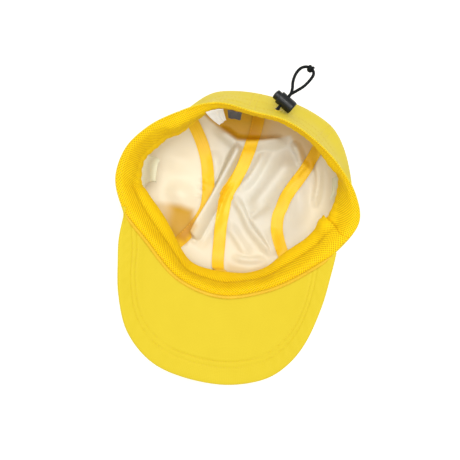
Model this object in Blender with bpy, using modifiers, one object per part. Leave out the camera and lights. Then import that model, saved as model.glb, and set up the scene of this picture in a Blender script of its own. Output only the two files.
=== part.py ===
"""A soft sports cap, lying upside down on its crown: metres, +Z up, the brim towards -Y.

The origin is the middle of the crown, on the plane that the crown rests on. The crown is four
fabric panels joined by three taped seams that run from the brim to the back. A mesh sweatband
lines the opening, a stiffened brim is sewn to its front, and an elastic drawcord runs in a
channel round the back. It comes out in a loop through a spring-loaded cord lock.
"""

import functools
import math

import bmesh
import bpy
import numpy as np
from mathutils import Matrix, Vector

MM = 0.001

# Overall sizes
OPENING_WIDTH = 198 * MM
OPENING_LENGTH = 150 * MM
RIM_FRONT_HEIGHT = 48 * MM
RIM_BACK_HEIGHT = 92 * MM
BRIM_LENGTH = 70 * MM
BRIM_TUCK = 2.1 * MM

# Sheet goods
PANEL_THICKNESS = 0.8 * MM
TAPE_WIDTH = 10 * MM
TAPE_THICKNESS = 0.5 * MM
SWEATBAND_WIDTH = 32 * MM
SWEATBAND_THICKNESS = 1.0 * MM
SIDE_TAPE_WIDTH = 42 * MM
LABEL_THICKNESS = 0.4 * MM
LAYER_GAP = 0.5 * MM
TAPE_CLEARANCE = 0.9 * MM
SEAM_GAP = 0.3 * MM

# Brim
BRIM_BOARD_THICKNESS = 1.6 * MM
BRIM_COVER_THICKNESS = 0.7 * MM
BRIM_BOARD_INSET = 4 * MM
BRIM_DROP = 3 * MM
BRIM_BOARD_PLAY = 1.2 * MM
BINDING_THICKNESS = 0.6 * MM
BINDING_INSIDE = 1.6 * MM
BINDING_OUTSIDE = 2.4 * MM

# Drawcord, its channel and its lock
CORD_DIAMETER = 2.5 * MM
CORD_CLEARANCE = 0.35 * MM
CHANNEL_HEIGHT = 13 * MM
CHANNEL_WALL = 0.5 * MM
LOCK_DIAMETER = 11 * MM
LOCK_WALL = 1.2 * MM
BUTTON_HEIGHT = 4.5 * MM
BUTTON_TRAVEL = 2.5 * MM
PLUNGER_CLEARANCE = 0.2 * MM
SPRING_WIRE = 0.4 * MM
SPRING_LENGTH = 4.1 * MM
KNOT_RADIUS = 3.7 * MM
SLOT_STANDOFF = 0.9 * MM
CORD_TURN_DEG = 6

# The wall of the crown at 18 places round the opening, as it lies on a table. Each row is one
# line down the wall: the compass heading in degrees (0 is the brim, 90 the right, 180 the back),
# then the rim, the wall under the sweatband's edge, the belly and the foot. x and y are shares of
# half the opening's width and length, and heights are shares of the rim's height there.
WALL = [
    (0, (0.00, -1.10), (0.00, -0.87, 0.45), (0.00, -0.86, 0.18), (0.00, -0.76)),
    (22, (0.31, -0.98), (0.25, -0.80, 0.50), (0.29, -0.80, 0.22), (0.27, -0.70)),
    (52, (0.66, -0.67), (0.47, -0.50, 0.58), (0.56, -0.58, 0.28), (0.51, -0.52)),
    (69, (0.85, -0.42), (0.63, -0.24, 0.64), (0.75, -0.35, 0.33), (0.65, -0.32)),
    (88, (0.99, -0.04), (0.73, -0.06, 0.70), (0.88, -0.06, 0.38), (0.73, -0.08)),
    (101, (0.92, 0.22), (0.79, 0.15, 0.63), (0.92, 0.20, 0.36), (0.74, 0.15)),
    (117, (0.75, 0.49), (0.78, 0.47, 0.61), (0.86, 0.51, 0.38), (0.68, 0.40)),
    (136, (0.53, 0.71), (0.60, 0.80, 0.62), (0.67, 0.90, 0.42), (0.50, 0.68)),
    (157, (0.28, 0.86), (0.32, 0.99, 0.65), (0.34, 1.07, 0.45), (0.27, 0.83)),
    (180, (0.00, 0.90), (0.00, 1.05, 0.67), (0.00, 1.11, 0.46), (0.00, 0.86)),
    (202, (-0.30, 0.93), (-0.31, 1.00, 0.67), (-0.32, 1.05, 0.45), (-0.27, 0.82)),
    (226, (-0.60, 0.76), (-0.55, 0.64, 0.65), (-0.62, 0.76, 0.40), (-0.50, 0.62)),
    (243, (-0.82, 0.55), (-0.70, 0.42, 0.66), (-0.80, 0.52, 0.38), (-0.66, 0.42)),
    (258, (-0.97, 0.28), (-0.81, 0.19, 0.64), (-0.90, 0.26, 0.36), (-0.73, 0.20)),
    (271, (-1.01, -0.02), (-0.80, -0.06, 0.64), (-0.90, -0.03, 0.34), (-0.74, -0.02)),
    (285, (-0.93, -0.31), (-0.73, -0.14, 0.68), (-0.83, -0.22, 0.34), (-0.69, -0.19)),
    (307, (-0.67, -0.66), (-0.48, -0.52, 0.57), (-0.57, -0.58, 0.27), (-0.52, -0.50)),
    (335, (-0.36, -1.00), (-0.29, -0.83, 0.47), (-0.32, -0.80, 0.20), (-0.29, -0.71)),
]

# The seams on a chart of the crown: the chart's circle is the rim and its middle is the crown's.
LEFT_SEAM = [(-0.64, -0.77), (-0.52, -0.56), (-0.30, -0.33), (-0.17, -0.05), (-0.22, 0.22),
             (-0.44, 0.50), (-0.71, 0.71)]
CENTRE_SEAM = [(0.00, -1.00), (-0.04, -0.72), (-0.07, -0.40), (-0.08, -0.08), (0.00, 0.18),
               (0.03, 0.50), (-0.03, 1.00)]
RIGHT_SEAM = [(0.66, -0.75), (0.54, -0.56), (0.34, -0.33), (0.23, -0.04), (0.31, 0.22),
              (0.46, 0.48), (0.70, 0.71)]

# The brim's outer edge from its left corner to its right: x as a share of half the brim's
# width, y as a share of the way from the corners' line to the tip. The brim is narrower than
# the opening between its corners by its tuck on each side.
BRIM_EDGE = [(-1.02, 0.00), (-1.035, 0.19), (-1.012, 0.33), (-0.951, 0.55), (-0.815, 0.767),
             (-0.56, 0.926), (-0.24, 0.993), (0.16, 0.998), (0.50, 0.925), (0.703, 0.804),
             (0.84, 0.63), (0.929, 0.382), (0.965, 0.153), (0.98, 0.00)]

# Compass headings round the rim, in degrees
BRIM_LEFT_HEADING, BRIM_RIGHT_HEADING = 75, 69
BINDING_END_HEADING = 12
SWEATBAND_JOINT = 89
CHANNEL_FROM, CHANNEL_TO = 124, 226
CORD_EXIT_HEADING = 166
CORD_EXIT_DEPTH = 17 * MM

# The drawcord's free loop, from the slot in the crown, through the lock, to the knot and back.
# Millimetres from the slot: +X right, +Y back, +Z up. Both strands run straight through the lock,
# one above the other, and then spread.
LOCK_PLACE = (4.2, 6.7, 0.0)
UPPER_STRAND = [(8.8, 17.6, 0.8), (8.4, 23.7, -1.4), (9.8, 30.6, -4.6), (13.2, 35.6, -7.6),
                (17.6, 37.4, -9.6), (20.7, 36.4, -10.4)]
LOWER_STRAND = [(12.4, 16.6, -2.0), (17.6, 21.3, -3.4), (21.6, 27.0, -5.6), (23.6, 31.6, -8.0),
                (23.0, 34.8, -9.6), (20.7, 36.4, -10.4)]
KNOT_PLACE = (20.7, 36.4, -10.4)
LOCK_AXIS = Vector((0.85, -0.527, 0.0)).normalized()


def clear_scene():
    for obj in list(bpy.data.objects):
        bpy.data.objects.remove(obj, do_unlink=True)


def new_collection(name):
    collection = bpy.data.collections.new(name)
    bpy.context.scene.collection.children.link(collection)
    return collection


def material(name, colour, roughness, metallic=0.0):
    mat = bpy.data.materials.new(name)
    mat.use_nodes = True
    shader = mat.node_tree.nodes["Principled BSDF"]
    shader.inputs["Base Color"].default_value = (*colour, 1.0)
    shader.inputs["Roughness"].default_value = roughness
    shader.inputs["Metallic"].default_value = metallic
    return mat


def hermite(a, b, slope_a, slope_b, step, s):
    return (
        (2 * s**3 - 3 * s**2 + 1) * a
        + (s**3 - 2 * s**2 + s) * step * slope_a
        + (3 * s**2 - 2 * s**3) * b
        + (s**3 - s**2) * step * slope_b
    )


def through(points, t):
    """A smooth curve through points, one unit of t from each point to the next."""
    points = np.asarray(points, float)
    slopes = np.gradient(points, axis=0)
    i = min(max(int(t), 0), len(points) - 2)
    return hermite(points[i], points[i + 1], slopes[i], slopes[i + 1], 1.0, t - i)


def ease(value, low, high):
    """0 below low, 1 above high, and smooth between."""
    t = min(max((value - low) / (high - low), 0.0), 1.0)
    return t * t * (3 - 2 * t)


def rim_height(y):
    """The opening lies on a slope, low at the brim and high at the back."""
    front, back = WALL[0][1][1] * OPENING_LENGTH / 2, WALL[9][1][1] * OPENING_LENGTH / 2
    return RIM_FRONT_HEIGHT + (RIM_BACK_HEIGHT - RIM_FRONT_HEIGHT) * (y - front) / (back - front)


FLOOR = PANEL_THICKNESS / 2
LINE_STEPS = 81
MIDDLE = np.array([0.0, 0.0, FLOOR])
HUB = np.array([0.0, 0.0, RIM_BACK_HEIGHT])


def wall_lines():
    """The wall's rows in metres, as rim, edge, belly and foot, carried on past both ends."""
    across, along = OPENING_WIDTH / 2, OPENING_LENGTH / 2
    rows = []
    for _, rim, edge, belly, foot in WALL:
        top = rim_height(rim[1] * along)
        rows.append([
            (rim[0] * across, rim[1] * along, top),
            (edge[0] * across, edge[1] * along, edge[2] * top),
            (belly[0] * across, belly[1] * along, belly[2] * top),
            (foot[0] * across, foot[1] * along, FLOOR),
        ])
    headings = [row[0] for row in WALL]
    before = [h - 360 for h in headings[-2:]]
    after = [h + 360 for h in headings[:3]]
    return np.array(before + headings + after, float), np.array(rows[-2:] + rows + rows[:3])


HEADINGS, LINES = wall_lines()
LINE_SLOPES = np.gradient(LINES, HEADINGS, axis=0)


@functools.lru_cache(maxsize=512)
def wall_line(heading):
    """One line of the wall from rim to middle: the spline's own points, and its length at each
    of many even steps."""
    i = int(np.searchsorted(HEADINGS, heading, side="right")) - 1
    step = HEADINGS[i + 1] - HEADINGS[i]
    s = (heading - HEADINGS[i]) / step
    rim, edge, belly, foot = hermite(
        LINES[i], LINES[i + 1], LINE_SLOPES[i], LINE_SLOPES[i + 1], step, s)
    foot[2] = FLOOR
    held = [rim, edge + (edge - (rim + belly) / 2) / 3, belly + (belly - (edge + foot) / 2) / 3]
    flat = [MIDDLE + (foot - MIDDLE) * share for share in (1, 0.74, 0.4)]
    points = np.array([2 * rim - held[1], *held, *flat, MIDDLE, 2 * MIDDLE - flat[-1]])
    dense = spline_at(points, np.linspace(0, len(points) - 3, LINE_STEPS))
    along = np.concatenate([[0], np.cumsum(np.linalg.norm(np.diff(dense, axis=0), axis=1))])
    return points, along


def spline_at(points, t):
    """A smooth curve that runs near its points, at t."""
    i = np.clip(np.floor(t).astype(int), 0, len(points) - 4)
    s = (t - i)[:, None]
    return (
        (1 - s) ** 3 * points[i]
        + (3 * s**3 - 6 * s**2 + 4) * points[i + 1]
        + (-3 * s**3 + 3 * s**2 + 3 * s + 1) * points[i + 2]
        + s**3 * points[i + 3]
    ) / 6


def on_line(heading, depth, share=None):
    points, along = wall_line(round(heading % 360, 4))
    depth = along[-1] * share if depth is None else min(max(depth, 0.0), along[-1])
    t = np.interp(depth, along, np.linspace(0, len(points) - 3, LINE_STEPS))
    return spline_at(points, np.array([t]))[0]


def on_wall(heading, depth):
    """The point of the crown that lies depth below the rim, measured along the cloth."""
    return on_line(heading, depth)


def on_chart(x, y):
    """The point of the crown at a place on its chart."""
    return on_line(math.degrees(math.atan2(x, -y)), None, 1 - min(math.hypot(x, y), 1.0))


def facing_in(first, second, point):
    normal = np.cross(first, second)
    normal /= np.linalg.norm(normal)
    return normal if normal @ (HUB - point) > 0 else -normal


def wall_point(heading, depth, offset):
    """A point offset into the cap from the wall."""
    step_deg, step_m = 0.8, 0.4 * MM
    here = on_wall(heading, depth)
    round_it = on_wall(heading + step_deg, depth) - on_wall(heading - step_deg, depth)
    down = on_wall(heading, depth + step_m) - on_wall(heading, depth - step_m)
    return here + facing_in(round_it, down, here) * offset


def chart_point(x, y, offset=0.0):
    """A point offset into the cap from a place on the crown's chart."""
    share, most, step = math.hypot(x, y), 0.995, 0.004
    if share > most:
        x, y = x * most / share, y * most / share
    here = on_chart(x, y)
    if not offset:
        return here
    across = on_chart(x + step, y) - on_chart(x - step, y)
    along = on_chart(x, y + step) - on_chart(x, y - step)
    return here + facing_in(across, along, here) * offset


def sheet(name, rows, thickness, mat):
    """A cloth solid: a grid laid over rows of points, thick to both sides of them."""
    rows = np.asarray(rows)
    count, width = rows.shape[:2]
    bm = bmesh.new()
    bmesh.ops.create_grid(bm, x_segments=width - 1, y_segments=count - 1, size=0.5)
    for vert in bm.verts:
        i = round((vert.co.y + 0.5) * (count - 1))
        j = round((vert.co.x + 0.5) * (width - 1))
        vert.co = rows[i, j]
    obj = mesh_object(name, bm, mat)
    solid = obj.modifiers.new("thickness", "SOLIDIFY")
    solid.thickness = thickness
    solid.offset = 0
    solid.use_even_offset = True
    return obj


def mesh_object(name, bm, mat, collection=None):
    mesh = bpy.data.meshes.new(name)
    bm.to_mesh(mesh)
    bm.free()
    mesh.shade_smooth()
    mesh.set_sharp_from_angle(angle=math.radians(40))
    obj = bpy.data.objects.new(name, mesh)
    (collection or PARTS).objects.link(obj)
    if mat:
        mesh.materials.append(mat)
    return obj


def drawn_in(rows, gap):
    """The rows with their first and last points moved in by half the gap between two panels."""
    rows = np.array(rows)
    for edge, inside in ((0, 1), (-1, -2)):
        way = rows[:, inside] - rows[:, edge]
        rows[:, edge] += way / np.linalg.norm(way, axis=1)[:, None] * gap / 2
    return rows


def seam_at(seam, share):
    """A place on a seam, by its share of the way from the brim to the back."""
    return through(seam, share * (len(seam) - 1))


def between(left, right, a, q):
    """A place on the chart between two seams, whose ends lie on the rim."""
    place = (1 - a) * seam_at(left, q) + a * seam_at(right, q)
    end = 0.0 if q < 0.5 else 1.0
    at_end = (1 - a) * seam_at(left, end) + a * seam_at(right, end)
    weight = abs(2 * q - 1) ** 3
    return place * (1 + (1 / np.linalg.norm(at_end) - 1) * weight)


SEAM_STEPS = np.linspace(0, 1, 47)


def top_panel(name, left, right, mat):
    across = 0.5 - 0.5 * np.cos(np.linspace(0, math.pi, 9))
    rows = [[chart_point(*between(left, right, a, q)) for a in across] for q in SEAM_STEPS]
    return sheet(name, drawn_in(rows, SEAM_GAP), PANEL_THICKNESS, mat)


def side_panel(name, seam, turn, mat):
    """A panel between a side seam and the rim, narrow at both ends."""
    ends = [math.degrees(math.atan2(seam_at(seam, e)[0], -seam_at(seam, e)[1])) for e in (0, 1)]
    if turn < 0:
        ends = [e % 360 for e in ends]
    rows = []
    for q in SEAM_STEPS[1:-1]:
        heading = math.radians(ends[0] + (ends[1] - ends[0]) * q)
        rim = np.array([math.sin(heading), -math.cos(heading)])
        start = between(seam, seam, 0, q)
        rows.append([chart_point(*((1 - a) * start + a * rim)) for a in np.linspace(0, 1, 12)])
    return sheet(name, drawn_in(rows, SEAM_GAP), PANEL_THICKNESS, mat)


TAPE_OFFSET = PANEL_THICKNESS / 2 + TAPE_CLEARANCE + TAPE_THICKNESS / 2
TAPE_TOP = TAPE_OFFSET + TAPE_THICKNESS / 2
BAND_OFFSET = TAPE_TOP + LAYER_GAP + SWEATBAND_THICKNESS / 2
CORD_OFFSET = TAPE_TOP + CORD_CLEARANCE + CORD_DIAMETER / 2
CHANNEL_EDGE_OFFSET = TAPE_TOP + LAYER_GAP + CHANNEL_WALL / 2
CHANNEL_TOP_OFFSET = CORD_OFFSET + CORD_DIAMETER / 2 + CORD_CLEARANCE + CHANNEL_WALL / 2
REAR_BAND_OFFSET = CHANNEL_TOP_OFFSET + CHANNEL_WALL / 2 + LAYER_GAP + SWEATBAND_THICKNESS / 2
STRAND_SPREAD = CORD_DIAMETER / 2 + CORD_CLEARANCE / 2


def seam_tape(name, seam, mat):
    """A strip that follows a seam on the inside of the crown."""
    rows, step = [], 0.01
    for q in np.linspace(0.01, 0.99, 46):
        here = seam_at(seam, q)
        ahead = seam_at(seam, q + step) - seam_at(seam, q - step)
        sideways = np.array([ahead[1], -ahead[0]]) / np.linalg.norm(ahead)
        metres = np.linalg.norm(on_chart(*(here + sideways * step)) - on_chart(*(here - sideways * step)))
        half = TAPE_WIDTH / 2 * 2 * step / metres
        rows.append([chart_point(*(here + sideways * half * k), TAPE_OFFSET)
                     for k in (-1, -0.35, 0.35, 1)])
    return sheet(name, rows, TAPE_THICKNESS, mat)


def over_channel(heading):
    """1 where the cord channel runs behind the sweatband, 0 elsewhere."""
    heading %= 360
    return ease(heading, CHANNEL_FROM - 14, CHANNEL_FROM - 3) - ease(
        heading, CHANNEL_TO + 3, CHANNEL_TO + 14)


def band_offset(heading, depth):
    rise = over_channel(heading) * ease(depth, 1 * MM, CORD_EXIT_DEPTH - CHANNEL_HEIGHT / 2)
    return BAND_OFFSET + (REAR_BAND_OFFSET - BAND_OFFSET) * rise


def sweatband(name, mat):
    depths = np.linspace(0.4 * MM, SWEATBAND_WIDTH, 7)
    last = SWEATBAND_JOINT + 360 - 0.5
    rows = [[wall_point(h, d, band_offset(h, d)) for d in depths]
            for h in np.linspace(SWEATBAND_JOINT, last, 72)]
    return sheet(name, rows, SWEATBAND_THICKNESS, mat)


def cord_channel(name, mat):
    """A strip sewn to the crown along both edges, which stands off over the cord."""
    half = CHANNEL_HEIGHT / 2
    flat = STRAND_SPREAD + CORD_DIAMETER / 2 + CORD_CLEARANCE
    rows = []
    for heading in np.linspace(CHANNEL_FROM, CHANNEL_TO, 28):
        row = []
        for across in np.linspace(-half, half, 9):
            rise = 1 - ease(abs(across), flat, half)
            offset = CHANNEL_EDGE_OFFSET + (CHANNEL_TOP_OFFSET - CHANNEL_EDGE_OFFSET) * rise
            row.append(wall_point(heading, CORD_EXIT_DEPTH + across, offset))
        rows.append(row)
    return sheet(name, rows, CHANNEL_WALL, mat)


def patch(name, headings, depths, offset, thickness, mat):
    """A flat piece of cloth that lies along the wall."""
    rows = [[wall_point(h, d, offset(h, d)) for d in depths] for h in headings]
    return sheet(name, rows, thickness, mat)


def tube(name, points, mat):
    """A cord through points that are a few diameters apart."""
    curve = bpy.data.curves.new(name, "CURVE")
    curve.dimensions = "3D"
    curve.bevel_depth = CORD_DIAMETER / 2
    curve.bevel_resolution = 2
    curve.use_fill_caps = True
    spline = curve.splines.new("POLY")
    spline.points.add(len(points) - 1)
    for place, point in zip(spline.points, points):
        place.co = (*point, 1.0)
    obj = bpy.data.objects.new(name, curve)
    PARTS.objects.link(obj)
    curve.materials.append(mat)
    return obj


def strand_route(points, spacing):
    """Points on the smooth curve through a strand's own points, near a spacing apart."""
    dense = np.array([through(points, t) for t in np.linspace(0, len(points) - 1, 400)])
    along = np.concatenate([[0], np.cumsum(np.linalg.norm(np.diff(dense, axis=0), axis=1))])
    count = max(int(round(along[-1] / spacing)), 2)
    return [np.array([np.interp(d, along, dense[:, k]) for k in range(3)])
            for d in np.linspace(0, along[-1], count + 1)]


def held_cord(name, start, depth, mat):
    """The cord in its channel, from where it is sewn down to where it turns out of the slot."""
    towards = 1 if start > CORD_EXIT_HEADING else -1
    out = cord_way()
    side = STRAND_SPREAD if depth < CORD_EXIT_DEPTH else -STRAND_SPREAD
    last = slot_place() + np.array([0, 0, side]) - out * SEAM_GAP
    points = [wall_point(h, depth, CORD_OFFSET)
              for h in np.linspace(start, CORD_EXIT_HEADING + towards * CORD_TURN_DEG, 24)]
    corner = last - out * (CORD_OFFSET + PANEL_THICKNESS / 2 + SLOT_STANDOFF)
    straight = last - out * 1.6 * MM
    bend_from = points[-1]
    for t in np.linspace(0, 1, 6)[1:]:
        points.append((1 - t) ** 2 * bend_from + 2 * t * (1 - t) * corner + t**2 * straight)
    return tube(name, points + [last], mat)


def slot_place():
    """Where the free cord begins, just clear of the crown's outer face."""
    return wall_point(CORD_EXIT_HEADING, CORD_EXIT_DEPTH, -PANEL_THICKNESS / 2 - SLOT_STANDOFF)


def cord_way():
    """The level direction in which both strands leave the slot and pass through the lock."""
    way = np.array([LOCK_PLACE[0], LOCK_PLACE[1], 0.0])
    return way / np.linalg.norm(way)


def free_strand(name, offsets, side, mat):
    """A strand of the loop, above (side 1) or below (side -1) its fellow in the lock."""
    origin = slot_place()
    knot = origin + np.array(KNOT_PLACE) * MM
    lock = np.array(LOCK_PLACE) * MM + np.array([0, 0, side * STRAND_SPREAD])
    straight = [origin + lock * [share, share, 1] for share in (0, 1, 1.9)]
    route = strand_route(straight + [origin + np.array(p) * MM for p in offsets], CORD_DIAMETER)
    reach = KNOT_RADIUS + SEAM_GAP + CORD_DIAMETER * 0.12
    kept = [p for p in route if np.linalg.norm(p - knot) > reach + 0.3 * MM]
    last = kept[-1]
    way = (last - knot) / np.linalg.norm(last - knot)
    kept.append(knot + way * reach)
    if np.linalg.norm(kept[-1] - kept[-2]) < 1 * MM:
        kept.pop(-2)
    return tube(name, kept, mat)


def turned(name, profile, steps, mat, collection=None):
    """A turned piece about its own Z: the profile runs down the outer side."""
    bm = bmesh.new()
    verts = [bm.verts.new((r, 0, z)) for r, z in profile]
    for a, b in zip(verts, verts[1:]):
        bm.edges.new((a, b))
    obj = mesh_object(name, bm, mat, collection)
    screw = obj.modifiers.new("turn", "SCREW")
    screw.steps = screw.render_steps = steps
    screw.use_merge_vertices = True
    screw.merge_threshold = 1e-5
    screw.use_smooth_shade = True
    return obj


def slot_cutter(name, length, height, depth):
    """A rounded bar along its own X, for a hole that two strands pass side by side."""
    bm = bmesh.new()
    bmesh.ops.create_cube(bm, size=1.0)
    bmesh.ops.scale(bm, vec=(length, height, depth), verts=bm.verts)
    obj = mesh_object(name, bm, None, CUTTERS)
    round_it = obj.modifiers.new("round", "BEVEL")
    round_it.width = HOLE_HALF * 0.9
    round_it.segments = 4
    obj.hide_render = True
    obj.display_type = "WIRE"
    return obj


def cut(obj, cutter):
    modifier = obj.modifiers.new("hole", "BOOLEAN")
    modifier.operation = "DIFFERENCE"
    modifier.solver = "EXACT"
    modifier.object = cutter


def lock_matrix():
    """The lock's frame: its Z towards the button and its X along the cord."""
    centre = slot_place() + np.array(LOCK_PLACE) * MM
    z_axis = -LOCK_AXIS
    x_axis = Vector(cord_way())
    x_axis = (x_axis - z_axis * x_axis.dot(z_axis)).normalized()
    y_axis = z_axis.cross(x_axis)
    turn = Matrix((x_axis, y_axis, z_axis)).transposed().to_4x4()
    return Matrix.Translation(centre) @ turn


# The lock's own frame: Z towards the button, with the cord's hole at its origin
HOLE_HALF = CORD_DIAMETER / 2 + CORD_CLEARANCE
BUTTON_RADIUS = LOCK_DIAMETER / 2 - LOCK_WALL - PLUNGER_CLEARANCE
MOUTH = HOLE_HALF + BUTTON_TRAVEL + 1.4 * MM
PLUNGER_FOOT = -HOLE_HALF - 1.6 * MM
SPRING_TOP = PLUNGER_FOOT - SEAM_GAP
LOCK_FLOOR = SPRING_TOP - SPRING_LENGTH - SEAM_GAP


def cord_lock(mats):
    """The lock: a barrel, a sprung button that clamps both strands, and its spring."""
    empty = bpy.data.objects.new("lock_axis", None)
    PARTS.objects.link(empty)
    empty.matrix_world = lock_matrix()
    outer, inner = LOCK_DIAMETER / 2, LOCK_DIAMETER / 2 - LOCK_WALL
    round_over = 1.3 * MM
    foot = LOCK_FLOOR - LOCK_WALL
    corner = [(outer - round_over + round_over * math.cos(t), foot + round_over - round_over * math.sin(t))
              for t in np.linspace(0, math.pi / 2, 5)]
    barrel = turned("cord_lock_barrel", [
        (0, LOCK_FLOOR), (inner, LOCK_FLOOR), (inner, MOUTH), (outer - 0.5 * MM, MOUTH),
        (outer, MOUTH - 0.5 * MM), *corner, (0, foot),
    ], 32, mats["lock"])
    top = MOUTH + BUTTON_HEIGHT
    dome = [(BUTTON_RADIUS * math.sin(t), top - BUTTON_RADIUS * 0.35 * (1 - math.cos(t)))
            for t in np.linspace(0, math.pi / 2, 7)]
    button = turned("cord_lock_button", [
        *dome, (BUTTON_RADIUS, PLUNGER_FOOT), (0, PLUNGER_FOOT),
    ], 32, mats["lock"])
    hole_height = 2 * (STRAND_SPREAD + HOLE_HALF)
    barrel_cut = slot_cutter("barrel_hole", LOCK_DIAMETER * 1.5, hole_height, 2 * HOLE_HALF)
    button_cut = slot_cutter("button_hole", LOCK_DIAMETER * 1.5, hole_height, 2 * HOLE_HALF + BUTTON_TRAVEL)
    button_cut.location = (0, 0, BUTTON_TRAVEL / 2)
    cut(barrel, barrel_cut)
    cut(button, button_cut)
    spring = lock_spring(mats["steel"])
    for obj in (barrel, button, spring, barrel_cut, button_cut):
        obj.parent = empty


def lock_spring(mat):
    turns, per_turn = 4, 14
    radius = BUTTON_RADIUS - 1.1 * MM
    curve = bpy.data.curves.new("cord_lock_spring", "CURVE")
    curve.dimensions = "3D"
    curve.bevel_depth = SPRING_WIRE / 2
    curve.bevel_resolution = 1
    curve.use_fill_caps = True
    spline = curve.splines.new("POLY")
    count = turns * per_turn
    spline.points.add(count)
    low = LOCK_FLOOR + SEAM_GAP + SPRING_WIRE / 2
    high = SPRING_TOP - SPRING_WIRE / 2
    for k, place in enumerate(spline.points):
        angle = 2 * math.pi * k / per_turn
        place.co = (radius * math.cos(angle), radius * math.sin(angle), low + (high - low) * k / count, 1)
    obj = bpy.data.objects.new("cord_lock_spring", curve)
    PARTS.objects.link(obj)
    curve.materials.append(mat)
    return obj


def cord_knot(mat):
    bm = bmesh.new()
    bmesh.ops.create_uvsphere(bm, u_segments=20, v_segments=12, radius=KNOT_RADIUS)
    obj = mesh_object("cord_knot", bm, mat)
    obj.location = slot_place() + np.array(KNOT_PLACE) * MM
    return obj


def brim_frame():
    """The brim's corners, and the height of its underside's middle plane along the rim."""
    left, right = on_wall(360 - BRIM_LEFT_HEADING, 0), on_wall(BRIM_RIGHT_HEADING, 0)
    front = on_wall(0, 0)
    return left, right, front


def brim_point(u, v, lift):
    """A place on the brim: u runs from its left corner to its right, v from the rim outwards."""
    left, right, front = brim_frame()
    heading = -BRIM_LEFT_HEADING + (BRIM_LEFT_HEADING + BRIM_RIGHT_HEADING) * u
    rim = on_wall(heading, 0)
    outward = np.array([math.sin(math.radians(heading)), -math.cos(math.radians(heading)), 0])
    rim = rim + outward * (PANEL_THICKNESS / 2 + LAYER_GAP)
    x_share, y_share = through(BRIM_EDGE, u * (len(BRIM_EDGE) - 1))
    corner = left + (right - left) * u
    tip_y = front[1] - BRIM_LENGTH
    half_width = (right[0] - left[0]) / 2 - BRIM_TUCK
    edge = np.array([
        x_share * half_width,
        corner[1] + (tip_y - corner[1]) * y_share,
        front[2] - BRIM_DROP * y_share + (corner[2] - front[2]) * min(abs(x_share), 1) ** 2,
    ])
    return rim + (edge - rim) * v + np.array([0, 0, lift])


def brim_layer(name, lift, inset, thickness, close, mat):
    """One layer of the brim. A cover closes on its fellow past the board's edge."""
    rows = []
    first = 0.035 if close else 0.09
    for u in np.linspace(first, 1 - first, 34):
        reach = np.linalg.norm(brim_point(u, 1, 0) - brim_point(u, 0, 0))
        stop = 1 - inset / reach
        row = []
        for v in [*np.linspace(0.4 * MM / reach, stop, 9), *([1.0] if close else [])]:
            height = lift if v <= stop + 1e-9 else math.copysign(thickness / 2 + SEAM_GAP / 2, lift)
            row.append(brim_point(u, v, height))
        rows.append(row)
    return sheet(name, rows, thickness, mat)


def brim(mats):
    cover_lift = BRIM_BOARD_THICKNESS / 2 + LAYER_GAP + BRIM_COVER_THICKNESS / 2
    brim_layer("brim_board", 0, BRIM_BOARD_INSET + BRIM_BOARD_PLAY, BRIM_BOARD_THICKNESS, False,
               mats["board"])
    brim_layer("brim_cover_crown_side", -cover_lift, BRIM_BOARD_INSET, BRIM_COVER_THICKNESS, True,
               mats["shell"])
    brim_layer("brim_cover_face_side", cover_lift, BRIM_BOARD_INSET, BRIM_COVER_THICKNESS, True,
               mats["brim"])
    rows = []
    binding_lift = cover_lift + BRIM_COVER_THICKNESS / 2 + LAYER_GAP + BINDING_THICKNESS / 2
    ends = BINDING_END_HEADING - BRIM_LEFT_HEADING, BRIM_RIGHT_HEADING - BINDING_END_HEADING
    for heading in np.linspace(*ends, 40):
        outward = np.array([math.sin(math.radians(heading)), -math.cos(math.radians(heading)), 0])
        rim = on_wall(heading, 0) + np.array([0, 0, binding_lift])
        rows.append([rim + outward * w for w in (-BINDING_INSIDE, (BINDING_OUTSIDE - BINDING_INSIDE) / 2,
                                                 BINDING_OUTSIDE)])
    sheet("brim_seam_binding", rows, BINDING_THICKNESS, mats["binding"])


clear_scene()
PARTS = new_collection("soft_cap")
CUTTERS = new_collection("cutters")

MATS = {
    "shell": material("shell_cloth", (0.85, 0.62, 0.05), 0.8),
    "brim": material("brim_cloth", (0.87, 0.64, 0.06), 0.8),
    "tape": material("seam_tape", (0.90, 0.55, 0.05), 0.55),
    "mesh": material("sweatband_mesh", (0.90, 0.55, 0.01), 0.85),
    "binding": material("seam_binding", (0.82, 0.50, 0.02), 0.7),
    "side": material("side_tape", (0.62, 0.55, 0.42), 0.6),
    "label": material("label_satin", (0.88, 0.87, 0.82), 0.45),
    "board": material("brim_board", (0.80, 0.80, 0.78), 0.5),
    "cord": material("elastic_cord", (0.010, 0.011, 0.011), 0.75),
    "lock": material("lock_plastic", (0.012, 0.013, 0.013), 0.4),
    "steel": material("spring_steel", (0.60, 0.60, 0.62), 0.3, 1.0),
}

side_panel("crown_panel_left", LEFT_SEAM, -1, MATS["shell"])
top_panel("crown_panel_left_top", LEFT_SEAM, CENTRE_SEAM, MATS["shell"])
right_top = top_panel("crown_panel_right_top", CENTRE_SEAM, RIGHT_SEAM, MATS["shell"])
side_panel("crown_panel_right", RIGHT_SEAM, 1, MATS["shell"])

for tape_name, tape_seam in (("left", LEFT_SEAM), ("centre", CENTRE_SEAM), ("right", RIGHT_SEAM)):
    seam_tape(f"seam_tape_{tape_name}", tape_seam, MATS["tape"])

sweatband("sweatband", MATS["mesh"])
cord_channel("cord_channel", MATS["tape"])
brim(MATS)

# The slot that both strands leave the crown by
slot = slot_cutter("cord_slot", 9 * MM, 2 * (STRAND_SPREAD + HOLE_HALF) + 1 * MM, 2 * HOLE_HALF + 2.4 * MM)
way = Vector(cord_way())
up = Vector((0, 0, 1))
slot.matrix_world = (Matrix.Translation(slot_place() - np.array(way) * 1.5 * MM)
                     @ Matrix((way, up, way.cross(up))).transposed().to_4x4())
cut(right_top, slot)

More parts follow.
